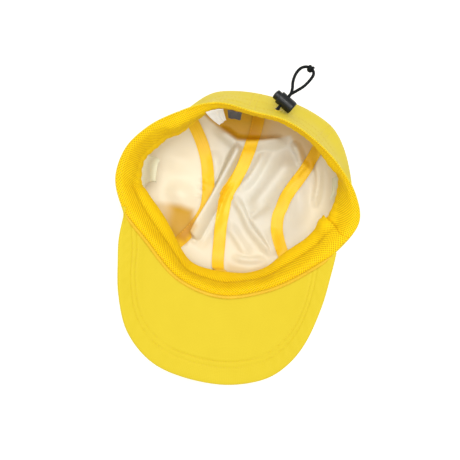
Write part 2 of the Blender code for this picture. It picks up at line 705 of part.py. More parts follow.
held_cord("drawcord_left", CHANNEL_TO - 2, CORD_EXIT_DEPTH - STRAND_SPREAD, MATS["cord"])
held_cord("drawcord_right", CHANNEL_FROM + 2, CORD_EXIT_DEPTH + STRAND_SPREAD, MATS["cord"])
free_strand("cord_loop_upper", UPPER_STRAND, 1, MATS["cord"])
free_strand("cord_loop_lower", LOWER_STRAND, -1, MATS["cord"])
cord_knot(MATS["cord"])
cord_lock(MATS)


def label_offset(heading, depth):
    return band_offset(heading, depth) + SWEATBAND_THICKNESS / 2 + LAYER_GAP + LABEL_THICKNESS / 2


def side_offset(heading, depth):
    return PANEL_THICKNESS / 2 + TAPE_CLEARANCE + LABEL_THICKNESS / 2


patch("care_label", np.linspace(198, 211, 6), np.linspace(7 * MM, 28 * MM, 7), label_offset,
      LABEL_THICKNESS, MATS["label"])
patch("size_label", np.linspace(186, 195, 5), np.linspace(9 * MM, 26 * MM, 6), label_offset,
      LABEL_THICKNESS, MATS["side"])
patch("side_tape_left", np.linspace(262, 287, 12), np.linspace(20 * MM, SIDE_TAPE_WIDTH, 6), side_offset,
      LABEL_THICKNESS, MATS["side"])
patch("side_tape_right", np.linspace(96, 112, 8), np.linspace(20 * MM, SIDE_TAPE_WIDTH, 6), side_offset,
      LABEL_THICKNESS, MATS["side"])
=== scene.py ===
"""A soft yellow sports cap lying upside down, with a drawcord and cord lock at its back."""
import math

import bpy
import numpy as np
from mathutils import Matrix, Vector


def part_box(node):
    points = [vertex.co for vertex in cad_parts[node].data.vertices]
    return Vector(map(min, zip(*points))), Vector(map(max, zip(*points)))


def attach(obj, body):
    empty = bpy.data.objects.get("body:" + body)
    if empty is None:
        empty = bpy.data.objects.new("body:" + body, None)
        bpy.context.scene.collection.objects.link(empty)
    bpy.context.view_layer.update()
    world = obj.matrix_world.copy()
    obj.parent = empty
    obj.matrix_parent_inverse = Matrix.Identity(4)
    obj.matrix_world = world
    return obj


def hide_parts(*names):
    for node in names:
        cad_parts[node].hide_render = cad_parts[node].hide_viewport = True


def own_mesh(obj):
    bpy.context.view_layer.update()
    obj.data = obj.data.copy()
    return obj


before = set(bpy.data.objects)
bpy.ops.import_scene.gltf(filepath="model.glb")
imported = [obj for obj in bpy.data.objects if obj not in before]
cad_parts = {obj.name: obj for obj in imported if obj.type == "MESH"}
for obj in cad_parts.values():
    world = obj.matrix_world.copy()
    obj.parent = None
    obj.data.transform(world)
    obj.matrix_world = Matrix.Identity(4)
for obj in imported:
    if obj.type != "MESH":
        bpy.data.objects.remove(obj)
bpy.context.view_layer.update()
MM = 0.001

# ------------------------------------------------------------------------------------------
# Sizes, from the boxes of the loaded parts
# ------------------------------------------------------------------------------------------
LEFT_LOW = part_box("crown_panel_left")[0]
RIGHT_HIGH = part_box("crown_panel_right")[1]
TOP_LOW, TOP_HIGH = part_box("crown_panel_left_top")
OPENING_WIDTH = (RIGHT_HIGH.x - LEFT_LOW.x) / 0.9939
OPENING_LENGTH = (TOP_HIGH.y - TOP_LOW.y) / 1.1073
RIM_BACK_HEIGHT = TOP_HIGH.z / 1.0011
RIM_FRONT_HEIGHT = RIM_BACK_HEIGHT * 48 / 92
BRIM_LENGTH = 70 * MM
BRIM_TUCK = 2.1 * MM
BRIM_DROP = 3 * MM
SHELL_THICKNESS = 0.8 * MM
TAPE_WIDTH = 10 * MM
BAND_WIDTH = 32 * MM
CORD_DIAMETER = 2.5 * MM
STRAND_SPREAD = 1.425 * MM
KNOT_CENTRE = (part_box("cord_knot")[0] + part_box("cord_knot")[1]) / 2

# Heights of the layers above the middle of the shell cloth
TAPE_LIFT = 1.55 * MM
BAND_LIFT = 2.8 * MM
REAR_BAND_LIFT = 6.5 * MM
CHANNEL_FROM, CHANNEL_TO = 124, 226
SLOT_HEADING, SLOT_DEPTH = 166, 17 * MM
BRIM_LEFT, BRIM_RIGHT = -75, 69

# One row for each line down the crown's wall: heading (0 at the brim, 90 right, 180 back), then
# the rim, the wall behind the sweatband's edge, the belly and the foot, as shares of half the
# opening's width and length, and heights as shares of the rim's height.
WALL = [
    (0, (0.00, -1.10), (0.00, -0.87, 0.45), (0.00, -0.86, 0.18), (0.00, -0.76)),
    (22, (0.31, -0.98), (0.25, -0.80, 0.50), (0.29, -0.80, 0.22), (0.27, -0.70)),
    (52, (0.66, -0.67), (0.47, -0.50, 0.58), (0.56, -0.58, 0.28), (0.51, -0.52)),
    (69, (0.85, -0.42), (0.63, -0.24, 0.64), (0.75, -0.35, 0.33), (0.65, -0.32)),
    (88, (0.99, -0.04), (0.73, -0.06, 0.70), (0.88, -0.06, 0.38), (0.73, -0.08)),
    (101, (0.92, 0.22), (0.79, 0.15, 0.63), (0.92, 0.20, 0.36), (0.74, 0.15)),
    (117, (0.75, 0.49), (0.78, 0.47, 0.61), (0.86, 0.51, 0.38), (0.68, 0.40)),
    (136, (0.53, 0.71), (0.60, 0.80, 0.62), (0.67, 0.90, 0.42), (0.50, 0.68)),
    (157, (0.28, 0.86), (0.32, 0.99, 0.65), (0.34, 1.07, 0.45), (0.27, 0.83)),
    (180, (0.00, 0.90), (0.00, 1.05, 0.67), (0.00, 1.11, 0.46), (0.00, 0.86)),
    (202, (-0.30, 0.93), (-0.31, 1.00, 0.67), (-0.32, 1.05, 0.45), (-0.27, 0.82)),
    (226, (-0.60, 0.76), (-0.55, 0.64, 0.65), (-0.62, 0.76, 0.40), (-0.50, 0.62)),
    (243, (-0.82, 0.55), (-0.70, 0.42, 0.66), (-0.80, 0.52, 0.38), (-0.66, 0.42)),
    (258, (-0.97, 0.28), (-0.81, 0.19, 0.64), (-0.90, 0.26, 0.36), (-0.73, 0.20)),
    (271, (-1.01, -0.02), (-0.80, -0.06, 0.64), (-0.90, -0.03, 0.34), (-0.74, -0.02)),
    (285, (-0.93, -0.31), (-0.73, -0.14, 0.68), (-0.83, -0.22, 0.34), (-0.69, -0.19)),
    (307, (-0.67, -0.66), (-0.48, -0.52, 0.57), (-0.57, -0.58, 0.27), (-0.52, -0.50)),
    (335, (-0.36, -1.00), (-0.29, -0.83, 0.47), (-0.32, -0.80, 0.20), (-0.29, -0.71)),
]
# The seams on a round chart of the crown, whose circle is the rim
LEFT_SEAM = [(-0.64, -0.77), (-0.52, -0.56), (-0.30, -0.33), (-0.17, -0.05), (-0.22, 0.22),
             (-0.44, 0.50), (-0.71, 0.71)]
CENTRE_SEAM = [(0.00, -1.00), (-0.04, -0.72), (-0.07, -0.40), (-0.08, -0.08), (0.00, 0.18),
               (0.03, 0.50), (-0.03, 1.00)]
RIGHT_SEAM = [(0.66, -0.75), (0.54, -0.56), (0.34, -0.33), (0.23, -0.04), (0.31, 0.22),
              (0.46, 0.48), (0.70, 0.71)]
# The brim's outer edge: share of half its width, share of its length
BRIM_EDGE = [(-1.02, 0.00), (-1.035, 0.19), (-1.012, 0.33), (-0.951, 0.55), (-0.815, 0.767),
             (-0.56, 0.926), (-0.24, 0.993), (0.16, 0.998), (0.50, 0.925), (0.703, 0.804),
             (0.84, 0.63), (0.929, 0.382), (0.965, 0.153), (0.98, 0.00)]
# The folds of the soft crown where it lies slack on the table, seen from above, in millimetres:
# route, half width, height, lean to its right-hand side, how square the top is, and the share
# of its length over which each end dies away
CROWN_FOLDS = [
    ([(-7, 42), (-9, 34), (-13.5, 18), (-18, -3), (-23, -21), (-27.5, -34), (-29.5, -41)],
     3.4, 13.5, 6.0, 2.6, 0.06),
    ([(-62, -1), (-52, -5), (-42, -8), (-32, -9)], 9.0, 6.0, 0, 2.0, 0.48),
    ([(39, 42), (34, 30.7), (22.9, 6.9), (11.8, -15.3)], 8.0, 8.5, 1.5, 2.2, 0.25),
    ([(19, 44), (14.3, 35.4), (6.9, 15.2), (-3.4, 2.4)], 3.8, 4.5, 1.2, 2.2, 0.3),
    ([(-6, 1), (4.3, -11), (13.3, -24), (26, -36), (36, -46)], 3.2, 4.6, -0.8, 2.2, 0.2),
    ([(-7, -22), (6, -36), (19, -50)], 3.8, 3.4, 0.6, 2.2, 0.3),
    ([(9, -18), (17, -10), (27, 0)], 3.4, 4.0, 0, 2.0, 0.3),
    ([(30, -20), (34, -34), (40, -44)], 5.0, 3.2, 0, 2.0, 0.3),
    ([(-6, 12), (-11, -2), (-14, -24)], 1.5, 2.6, 0.8, 2.4, 0.25),
    ([(-35, 8), (-27, 7)], 1.3, 1.5, 0, 2.0, 0.3),
    ([(-36, 2), (-28, 1)], 1.4, 1.6, 0, 2.0, 0.3),
    ([(-37, -6), (-29, -5)], 1.4, 1.4, 0, 2.0, 0.3),
    ([(-26, -50), (-17, -26), (-13, -12)], 4.5, 3.6, 0, 2.0, 0.3),
    ([(-74, 27), (-60, 22), (-47, 20), (-34, 23)], 9, 3.6, 0, 2.0, 0.48),
    ([(-28, 34), (-22, 18), (-26, 4)], 4.5, 3.0, 0, 2.0, 0.3),
    ([(42, 22), (47, 31), (53, 38)], 2.2, 3.4, 0, 2.2, 0.3),
    ([(38, 20), (48, 8), (51, -6), (46, -20)], 7, 3.6, 0, 2.0, 0.48),
    ([(58, 42), (63, 24), (62, 0)], 3.2, 4.5, 0, 2.4, 0.2),
    ([(-31, 54), (-19.6, 48), (-9.4, 42.8), (5.3, 44), (20.8, 48), (33, 53)], 4.5, 7.5, -2.5, 2.6, 0.2),
    ([(36, 53), (43, 42), (46, 31)], 3.5, 5.5, 0, 2.6, 0.25),
    ([(2, -50), (17, -51), (32, -47)], 3.5, 4.5, 0, 2.2, 0.3),
]

# The drawcord's free loop, in millimetres from the slot: right, back, up
LOCK_PLACE = (4.2, 6.7, 0.0)
UPPER_STRAND = [(8.8, 17.6, 0.8), (8.4, 23.7, -1.4), (9.8, 30.6, -4.6), (13.2, 35.6, -7.6),
                (17.6, 37.4, -9.6), (20.7, 36.4, -10.4)]
LOWER_STRAND = [(12.4, 16.6, -2.0), (17.6, 21.3, -3.4), (21.6, 27.0, -5.6), (23.6, 31.6, -8.0),
                (23.0, 34.8, -9.6), (20.7, 36.4, -10.4)]


# ------------------------------------------------------------------------------------------
# The shape of the crown
# ------------------------------------------------------------------------------------------
def hermite(a, b, slope_a, slope_b, step, s):
    return ((2 * s**3 - 3 * s**2 + 1) * a + (s**3 - 2 * s**2 + s) * step * slope_a
            + (3 * s**2 - 2 * s**3) * b + (s**3 - s**2) * step * slope_b)


def through(points, t):
    """Places on a smooth curve through points, at many values of t."""
    points = np.asarray(points, float)
    slopes = np.gradient(points, axis=0)
    t = np.atleast_1d(np.asarray(t, float))
    i = np.clip(t.astype(int), 0, len(points) - 2)
    return hermite(points[i], points[i + 1], slopes[i], slopes[i + 1], 1.0, (t - i)[:, None])


def ease(value, low, high):
    t = np.clip((np.asarray(value, float) - low) / (high - low), 0.0, 1.0)
    return t * t * (3 - 2 * t)


def rim_height(y):
    """The rim's height, which falls evenly from the back to the front."""
    front, back = WALL[0][1][1] * OPENING_LENGTH / 2, WALL[9][1][1] * OPENING_LENGTH / 2
    return RIM_FRONT_HEIGHT + (RIM_BACK_HEIGHT - RIM_FRONT_HEIGHT) * (y - front) / (back - front)


FLOOR = SHELL_THICKNESS / 2
MIDDLE = np.array([0.0, 0.0, FLOOR])
HUB = np.array([0.0, 0.0, RIM_BACK_HEIGHT])


def wall_rows():
    """The wall's lines in metres, run on past a full turn at both ends."""
    across, along = OPENING_WIDTH / 2, OPENING_LENGTH / 2
    rows = []
    for _, rim, edge, belly, foot in WALL:
        top = rim_height(rim[1] * along)
        rows.append([(rim[0] * across, rim[1] * along, top),
                     (edge[0] * across, edge[1] * along, edge[2] * top),
                     (belly[0] * across, belly[1] * along, belly[2] * top),
                     (foot[0] * across, foot[1] * along, FLOOR)])
    headings = [row[0] for row in WALL]
    turns = [h - 360 for h in headings[-2:]] + headings + [h + 360 for h in headings[:3]]
    return np.array(turns, float), np.array(rows[-2:] + rows + rows[:3])


HEADINGS, LINES = wall_rows()
LINE_SLOPES = np.gradient(LINES, HEADINGS, axis=0)


def wall_controls(heading):
    """The nine control points of the wall's line at each heading."""
    heading = np.asarray(heading, float) % 360
    i = np.searchsorted(HEADINGS, heading, side="right") - 1
    step = (HEADINGS[i + 1] - HEADINGS[i])[:, None, None]
    s = ((heading - HEADINGS[i]) / step[:, 0, 0])[:, None, None]
    rows = hermite(LINES[i], LINES[i + 1], LINE_SLOPES[i], LINE_SLOPES[i + 1], step, s)
    rim, edge, belly, foot = (rows[:, k] for k in range(4))
    foot[:, 2] = FLOOR
    held = [rim, edge + (edge - (rim + belly) / 2) / 3, belly + (belly - (edge + foot) / 2) / 3]
    flat = [MIDDLE + (foot - MIDDLE) * share for share in (1, 0.74, 0.4)]
    middle = np.broadcast_to(MIDDLE, rim.shape)
    return np.stack([2 * rim - held[1], *held, *flat, middle, 2 * middle - flat[-1]], axis=1)


def on_curve(controls, t):
    """A place on each row's own curve."""
    i = np.clip(np.floor(t).astype(int), 0, controls.shape[1] - 4)
    s = (t - i)[:, None]
    pick = np.arange(len(i))
    return ((1 - s) ** 3 * controls[pick, i] + (3 * s**3 - 6 * s**2 + 4) * controls[pick, i + 1]
            + (-3 * s**3 + 3 * s**2 + 3 * s + 1) * controls[pick, i + 2]
            + s**3 * controls[pick, i + 3]) / 6


TURN_STEP = 0.5
TURNS = np.arange(0, 360 + TURN_STEP, TURN_STEP)
SHARES = np.linspace(0, 1, 201)


def measure_wall():
    """The wall's length at each turn, and where on its curve each share of that length lies."""
    controls = wall_controls(TURNS)
    steps = np.linspace(0, 6, 121)
    dense = np.stack([on_curve(controls, np.full(len(TURNS), t)) for t in steps], axis=1)
    along = np.concatenate([np.zeros((len(TURNS), 1)),
                            np.cumsum(np.linalg.norm(np.diff(dense, axis=1), axis=2), axis=1)], axis=1)
    places = np.array([np.interp(SHARES * row[-1], row, steps) for row in along])
    return along[:, -1], places


WALL_LENGTHS, WALL_PLACES = measure_wall()


def wall_length(heading):
    return np.interp(np.asarray(heading, float) % 360, TURNS, WALL_LENGTHS)


def crown_place(heading, share):
    """The place a share of the way from the rim to the middle of the crown."""
    heading = np.asarray(heading, float) % 360
    share = np.clip(share, 0, 1)
    a, b = heading / TURN_STEP, share * (len(SHARES) - 1)
    i = np.clip(a.astype(int), 0, len(TURNS) - 2)
    j = np.clip(b.astype(int), 0, len(SHARES) - 2)
    a, b = a - i, b - j
    t = ((1 - a) * ((1 - b) * WALL_PLACES[i, j] + b * WALL_PLACES[i, j + 1])
         + a * ((1 - b) * WALL_PLACES[i + 1, j] + b * WALL_PLACES[i + 1, j + 1]))
    return on_curve(wall_controls(heading), t)


def on_chart(x, y):
    """The place in the cap of each place on the round chart."""
    return crown_place(np.degrees(np.arctan2(x, -y)), 1 - np.minimum(np.hypot(x, y), 1.0))


def facing_in(first, second, place):
    """The unit way square to two others, on the side of the cap's middle."""
    normal = np.cross(first, second)
    normal /= np.maximum(np.linalg.norm(normal, axis=1), 1e-12)[:, None]
    inward = np.sum(normal * (HUB - place), axis=1) > 0
    return np.where(inward[:, None], normal, -normal)


def from_route(x, y, route):
    """How far each place is from a route, on which side, and how far along the route it is."""
    route = np.asarray(route, float)
    dense = through(route, np.linspace(0, len(route) - 1, 12 * (len(route) - 1) + 1))
    best = np.full(x.shape, 1e9)
    side, along = np.zeros(x.shape), np.zeros(x.shape)
    lengths = np.linalg.norm(np.diff(dense, axis=0), axis=1)
    start = np.concatenate([[0], np.cumsum(lengths)])
    for k, (a, b) in enumerate(zip(dense[:-1], dense[1:])):
        way = (b - a) / lengths[k]
        run = (x - a[0]) * way[0] + (y - a[1]) * way[1]
        held = np.clip(run, 0, lengths[k])
        off = (x - a[0]) * way[1] - (y - a[1]) * way[0]
        gap = np.hypot(run - held, off)
        nearer = gap < best
        best = np.where(nearer, gap, best)
        side = np.where(nearer, np.sign(off), side)
        along = np.where(nearer, (start[k] + held) / start[-1], along)
    return best, side, along, dense


def crown_folds(place, under=0):
    """How far the slack cloth stands up at each place, and how far its folds lean over. A tape
    that runs under the pinched ridge leaves it out, with under=1."""
    x, y = place[:, 0] / MM, place[:, 1] / MM
    lift, lean = np.zeros(len(x)), np.zeros((len(x), 3))
    low = 1 - ease(place[:, 2], 8 * MM, 30 * MM)
    for route, half, height, over, square, fade in CROWN_FOLDS[under:]:
        gap, side, along, dense = from_route(x, y, route)
        ends = ease(along, -0.02, fade) * (1 - ease(along, 1 - fade, 1.02))
        shape = np.exp(-((gap / half) ** square)) * ends
        way = dense[-1] - dense[0]
        way /= np.linalg.norm(way)
        lift = np.hypot(lift, height * shape)
        lean[:, :2] += (over * ease(along, 0.1, 0.9) * shape**2)[:, None] * np.array([way[1], -way[0]])
    slack = (np.sin(x / 7.3 + 1.3 * np.sin(y / 11.0)) + np.sin((x * 0.6 + y) / 8.7 + 2.1)
             + np.sin((x - 0.8 * y) / 6.1 + 0.7 * np.sin(x / 13.0)) + 3.0) * 0.14
    return (lift + slack) * low * MM, lean * low[:, None] * MM


def wall_ripples(heading, share):
    """The small dents and puckers of the wall, into the cap."""
    length = wall_length(heading)
    depth = share * length / MM
    wall = ease(depth, 2, 14) * (1 - ease(depth, 60, 95))
    dents = (np.sin(np.radians(heading) * 5 + 0.06 * depth) * np.sin(depth / 13 + np.radians(heading) * 2)
             + 0.6 * np.sin(np.radians(heading) * 13 - depth / 9)) * 0.5
    return dents * wall * MM


def plain_frame(x, y):
    """Each place on the chart of the smooth crown, with the way that faces into the cap there."""
    step = 0.004
    here = on_chart(x, y)
    return here, facing_in(on_chart(x + step, y) - on_chart(x - step, y),
                           on_chart(x, y + step) - on_chart(x, y - step), here)


def crown_frame(x, y, under=0):
    """The same for the slack crown, with its folds and ripples."""
    here, inward = plain_frame(x, y)
    lift, lean = crown_folds(here, under)
    heading = np.degrees(np.arctan2(x, -y)) % 360
    ripple = wall_ripples(heading, 1 - np.minimum(np.hypot(x, y), 1.0))
    return here + inward * (lift + ripple)[:, None] + lean, inward


def crown_grid(chart, lift=0.0, under=0):
    """A grid of chart places raised into the cap."""
    rows, cols = chart.shape[:2]
    place, inward = crown_frame(chart[..., 0].ravel(), chart[..., 1].ravel(), under)
    raised = place + inward * np.broadcast_to(lift, (rows, cols)).reshape(-1, 1)
    return raised.reshape(rows, cols, 3)


def wall_chart(headings, depths):
    """The chart places at these headings and depths below the rim."""
    return chart_of(*np.meshgrid(headings, depths, indexing="ij"))


def chart_of(h, d):
    """The chart place at each heading and depth."""
    radius = 1 - d / wall_length(h)
    return np.stack([radius * np.sin(np.radians(h)), -radius * np.cos(np.radians(h))], axis=-1)


# ------------------------------------------------------------------------------------------
# Finishes
# ------------------------------------------------------------------------------------------
class Finish:
    """A material, with short ways to add its nodes."""

    def __init__(self, name, roughness, specular=0.3, sheen=0.0, metallic=0.0):
        self.material = bpy.data.materials.new(name)
        self.material.use_nodes = True
        tree = self.material.node_tree
        self.nodes, self.links = tree.nodes, tree.links
        self.shader = self.nodes["Principled BSDF"]
        settings = {"Roughness": roughness, "Metallic": metallic, "Specular IOR Level": specular,
                    "Sheen Weight": sheen, "Sheen Roughness": 0.45}
        for socket, value in settings.items():
            self.shader.inputs[socket].default_value = value

    def add(self, kind, values=(), **settings):
        node = self.nodes.new(kind)
        for key, value in settings.items():
            setattr(node, key, value)
        for socket, value in dict(values).items():
            if isinstance(value, bpy.types.NodeSocket):
                self.links.new(value, node.inputs[socket])
            else:
                node.inputs[socket].default_value = value
        return node

    def uv(self):
        return self.add("ShaderNodeUVMap", uv_map="cut").outputs[0]

    def shade(self, name):
        return self.add("ShaderNodeAttribute", attribute_name=name).outputs["Fac"]

    def object_space(self):
        return self.add("ShaderNodeTexCoord").outputs["Object"]

    def scaled(self, vector, scale, turn=0.0):
        return self.add("ShaderNodeMapping", {"Vector": vector, "Scale": scale,
                                              "Rotation": (0, 0, math.radians(turn))}).outputs[0]

    def math(self, operation, a, b=0.0):
        return self.add("ShaderNodeMath", {0: a, 1: b}, operation=operation).outputs[0]

    def noise(self, vector, scale, detail=2.0):
        return self.add("ShaderNodeTexNoise", {"Vector": vector, "Scale": scale,
                                               "Detail": detail}).outputs["Fac"]

    def wave(self, vector, pitch, direction):
        """Bands a pitch apart."""
        return self.add("ShaderNodeTexWave", {"Vector": vector, "Scale": 1 / pitch / 6.28},
                        wave_type="BANDS", bands_direction=direction).outputs["Fac"]

    def dots(self, vector, scale):
        return self.add("ShaderNodeTexVoronoi", {"Vector": vector, "Scale": scale, "Randomness": 0.0},
                        feature="F1").outputs["Distance"]

    def range(self, value, low, high, new_low=0.0, new_high=1.0):
        return self.add("ShaderNodeMapRange", {"Value": value, "From Min": low, "From Max": high,
                                               "To Min": new_low, "To Max": new_high}).outputs[0]

    def mix(self, factor, a, b, kind="MIX"):
        node = self.add("ShaderNodeMix", {"Factor": factor}, data_type="RGBA", blend_type=kind)
        for socket, value in ((node.inputs[6], a), (node.inputs[7], b)):
            if isinstance(value, bpy.types.NodeSocket):
                self.links.new(value, socket)
            else:
                socket.default_value = (*value, 1)
        return node.outputs[2]

    def colour(self, socket):
        self.links.new(socket, self.shader.inputs["Base Color"])

    def roughness(self, socket):
        self.links.new(socket, self.shader.inputs["Roughness"])

    def bump(self, height, strength, distance):
        node = self.add("ShaderNodeBump", {"Height": height, "Strength": strength, "Distance": distance})
        self.links.new(node.outputs[0], self.shader.inputs["Normal"])


def woven(name, light, dark, pitch, roughness, sheen=0.05, strength=0.25, turn=0.0, mottle=0.35):
    """Plain-woven cloth: two crossed sets of yarn, uneven yarns and a faint mottle."""
    f = Finish(name, roughness, specular=0.2, sheen=sheen)
    uv = f.scaled(f.uv(), (1, 1, 1), turn)
    across, along = f.wave(uv, pitch, "X"), f.wave(uv, pitch, "Y")
    weave = f.math("MULTIPLY", across, along)
    slub = f.noise(f.scaled(uv, (400, 9000, 1)), 1.0, 2)
    cloud = f.noise(uv, 45, 3)
    tone = f.math("ADD", f.math("MULTIPLY", weave, 0.35),
                  f.math("ADD", f.math("MULTIPLY", slub, 0.3), f.math("MULTIPLY", cloud, mottle)))
    f.colour(f.mix(f.range(tone, 0.15, 0.85), dark, light))
    f.bump(f.math("ADD", weave, f.math("MULTIPLY", slub, 0.5)), strength, 0.00012)
    return f.material


def coated_lining():
    """The shell's pale coated inside, with painted shade in brown-gold on the back wall and in the
    hollows under the sweatband, painted light at the sides and the front, and the yellow shell at the
    turned-over hem.
    """
    f = Finish("coated_lining", 0.5, specular=0.35)
    uv = f.uv()
    cloud = f.noise(uv, 30, 4)
    grain = f.wave(uv, 0.0005, "X")
    shade_mask = f.shade("painted_shade")
    painted_light = f.shade("painted_light")
    pale = f.mix(f.range(cloud, 0.3, 0.7), (0.665, 0.645, 0.55), (0.70, 0.685, 0.615))
    # Painted light: a paler, yellower cream at the sides and the front
    pale = f.mix(painted_light, pale, (0.87, 0.82, 0.66))
    hem = f.shade("hem")
    # Painted shade: brown-gold on the back wall and in the hollows under the sweatband; the turned-over
    # hem shows the yellow shell
    f.colour(f.mix(hem, f.mix(shade_mask, pale, (0.58, 0.325, 0.014)), (0.86, 0.66, 0.05)))
    fine = f.noise(uv, 900, 2)
    f.bump(f.math("ADD", f.math("MULTIPLY", grain, 0.3), fine), 0.18, 0.00015)
    return f.material


def mesh_knit():
    """The sweatband's knitted eyelet mesh: rows of small holes, each row half a step along."""
    f = Finish("eyelet_mesh", 0.75, specular=0.12)
    uv = f.uv()
    slant = f.scaled(uv, (1, 1, 1), 45)
    distance = f.dots(slant, 1 / 0.00148)
    hole = f.range(distance, 0.22, 0.5)
    knit = f.wave(uv, 0.0004, "Y")
    cloud = f.noise(uv, 60, 3)
    yarn = f.mix(f.range(cloud, 0.3, 0.7), (0.94, 0.64, 0.005), (0.97, 0.70, 0.008))
    yarn = f.mix(f.math("MULTIPLY", knit, 0.2), yarn, (0.84, 0.46, 0.003))
    inner = f.shade("plain")
    dark = f.mix(inner, (0.60, 0.32, 0.001), (0.88, 0.54, 0.002))
    f.colour(f.mix(hole, dark, yarn))
    f.bump(f.math("ADD", hole, f.math("MULTIPLY", knit, 0.25)), 0.55, 0.0003)
    return f.material


def taped(name, light, dark, shaded=(0.56, 0.27, 0.004)):
    """Smooth folded seam tape with a fine twill and a pressed middle line, with painted shade along that
    line and where the tape runs through the lining's shadowed hollows.
    """
    f = Finish(name, 0.45, specular=0.25)
    uv = f.uv()
    twill = f.wave(f.scaled(uv, (1, 1, 1), 38), 0.0007, "X")
    cloud = f.noise(uv, 80, 3)
    across = f.add("ShaderNodeSeparateXYZ", {"Vector": uv}).outputs[0]
    middle = f.range(f.math("ABSOLUTE", across), 0.0, 0.0007, 1.0, 0.0)
    tone = f.math("ADD", f.math("MULTIPLY", twill, 0.25), f.math("MULTIPLY", cloud, 0.75))
    body = f.mix(f.range(tone, 0.25, 0.75), dark, light)
    # Painted shade: a faint dark line along the pressed middle
    body = f.mix(f.math("MULTIPLY", middle, 0.08), body, tuple(c * 0.55 for c in dark))
    # Painted shade: brown-orange where the tape runs through the lining's shadowed hollows
    shade_mask = f.shade("painted_shade")
    f.colour(f.mix(f.range(shade_mask, 0.15, 1.0), body, shaded))
    pressed = f.math("MULTIPLY", middle, 0.3)
    f.bump(f.math("SUBTRACT", f.math("MULTIPLY", twill, 0.4), pressed), 0.3, 0.0002)
    return f.material


def satin(name, light, dark, roughness=0.35):
    """Label cloth with fine ribs across it."""
    f = Finish(name, roughness, specular=0.45, sheen=0.1)
    uv = f.uv()
    ribs = f.wave(uv, 0.0009, "Y")
    cloud = f.noise(uv, 120, 3)
    tone = f.math("ADD", f.math("MULTIPLY", ribs, 0.3), f.math("MULTIPLY", cloud, 0.5))
    f.colour(f.mix(tone, dark, light))
    f.bump(ribs, 0.2, 0.0001)
    return f.material


def sewing_thread(name, light, dark):
    """Matt thread with a fine twist."""
    f = Finish(name, 0.5, specular=0.35, sheen=0.15)
    place = f.object_space()
    twist = f.noise(place, 2500, 2)
    f.colour(f.mix(twist, dark, light))
    f.bump(twist, 0.3, 0.00008)
    return f.material


def braided_cord():
    """Round elastic cord: a braid of fine black yarns laid both ways."""
    f = Finish("braided_cord", 0.7, specular=0.12)
    uv = f.uv()
    pitch = 1 / 3.14
    one, other = (f.wave(f.scaled(uv, (900, way, 1)), pitch, "DIAGONAL") for way in (5, -5))
    braid = f.math("MAXIMUM", one, other)
    f.colour(f.mix(braid, (0.002, 0.0025, 0.003), (0.010, 0.012, 0.013)))
    f.bump(braid, 0.6, 0.0002)
    return f.material


def moulded_black():
    """Black moulded plastic with a fine grain and faint scuffs."""
    f = Finish("moulded_black", 0.34, specular=0.32)
    place = f.object_space()
    grain, scuff = f.noise(place, 3000, 2), f.noise(place, 260, 4)
    f.colour(f.mix(scuff, (0.0035, 0.0045, 0.0045), (0.008, 0.010, 0.010)))
    f.roughness(f.range(scuff, 0.3, 0.75, 0.28, 0.46))
    f.bump(grain, 0.12, 0.0001)
    return f.material


def drawn_steel():
    f = Finish("drawn_steel", 0.28, metallic=1.0)
    streak = f.noise(f.scaled(f.object_space(), (400, 400, 3000)), 1.0, 3)
    f.colour(f.mix(streak, (0.45, 0.45, 0.46), (0.68, 0.68, 0.70)))
    f.bump(streak, 0.1, 0.00005)
    return f.material


def foamed_board():
    f = Finish("foamed_board", 0.6)
    cells = f.noise(f.object_space(), 900, 3)
    f.colour(f.mix(cells, (0.72, 0.71, 0.66), (0.84, 0.83, 0.79)))
    f.bump(cells, 0.2, 0.0002)
    return f.material


def studio_white():
    f = Finish("studio_white", 0.9, specular=0.1)
    f.colour(f.mix(f.noise(f.object_space(), 3, 2), (0.55, 0.55, 0.55), (0.57, 0.57, 0.57)))
    f.shader.inputs["Emission Color"].default_value = (1, 1, 1, 1)
    f.shader.inputs["Emission Strength"].default_value = 0.62
    return f.material


SHELL = woven("shell_cloth", (0.73, 0.585, 0.036), (0.65, 0.50, 0.022), 0.0006, 0.65, sheen=0.04)
BRIM_CLOTH = woven("brim_cloth", (0.70, 0.54, 0.022), (0.63, 0.47, 0.014), 0.0006, 0.65,
                   sheen=0.04, turn=90)
LINING = coated_lining()
MESH = mesh_knit()
TAPE = taped("seam_tape", (0.95, 0.62, 0.030), (0.86, 0.51, 0.012))
# The piping is darker than the seam tape: partly its own brownish-golden colour, partly painted shade for
# the thin shadow line between the brim and the band
BINDING = taped("seam_binding", (0.76, 0.48, 0.012), (0.64, 0.38, 0.008))
LABEL = satin("label_satin", (0.88, 0.875, 0.84), (0.78, 0.775, 0.74))
DARK_LABEL = satin("dark_label", (0.055, 0.06, 0.075), (0.03, 0.033, 0.042), 0.7)
SIDE_PATCH = satin("side_patch", (0.74, 0.71, 0.52), (0.66, 0.63, 0.44), 0.5)
THREAD = sewing_thread("yellow_thread", (0.72, 0.52, 0.022), (0.56, 0.38, 0.012))
GOLD_THREAD = sewing_thread("golden_thread", (0.90, 0.57, 0.018), (0.74, 0.43, 0.008))
CORD = braided_cord()
BLACK = moulded_black()
STEEL = drawn_steel()
BOARD = foamed_board()


# ------------------------------------------------------------------------------------------
# Making pieces
# ------------------------------------------------------------------------------------------
def deselect():
    bpy.ops.object.select_all(action="DESELECT")


def pick(obj):
    deselect()
    obj.select_set(True)
    bpy.context.view_layer.objects.active = obj


def smooth(obj, angle=50):
    pick(obj)
    bpy.ops.object.shade_smooth_by_angle(angle=math.radians(angle))
    deselect()


def piece(name, points, faces, materials):
    """A new object with one mesh."""
    mesh = bpy.data.meshes.new(name)
    mesh.from_pydata([tuple(p) for p in points], [], [tuple(f) for f in faces])
    for material in materials:
        mesh.materials.append(material)
    obj = bpy.data.objects.new(name, mesh)
    bpy.context.scene.collection.objects.link(obj)
    return obj


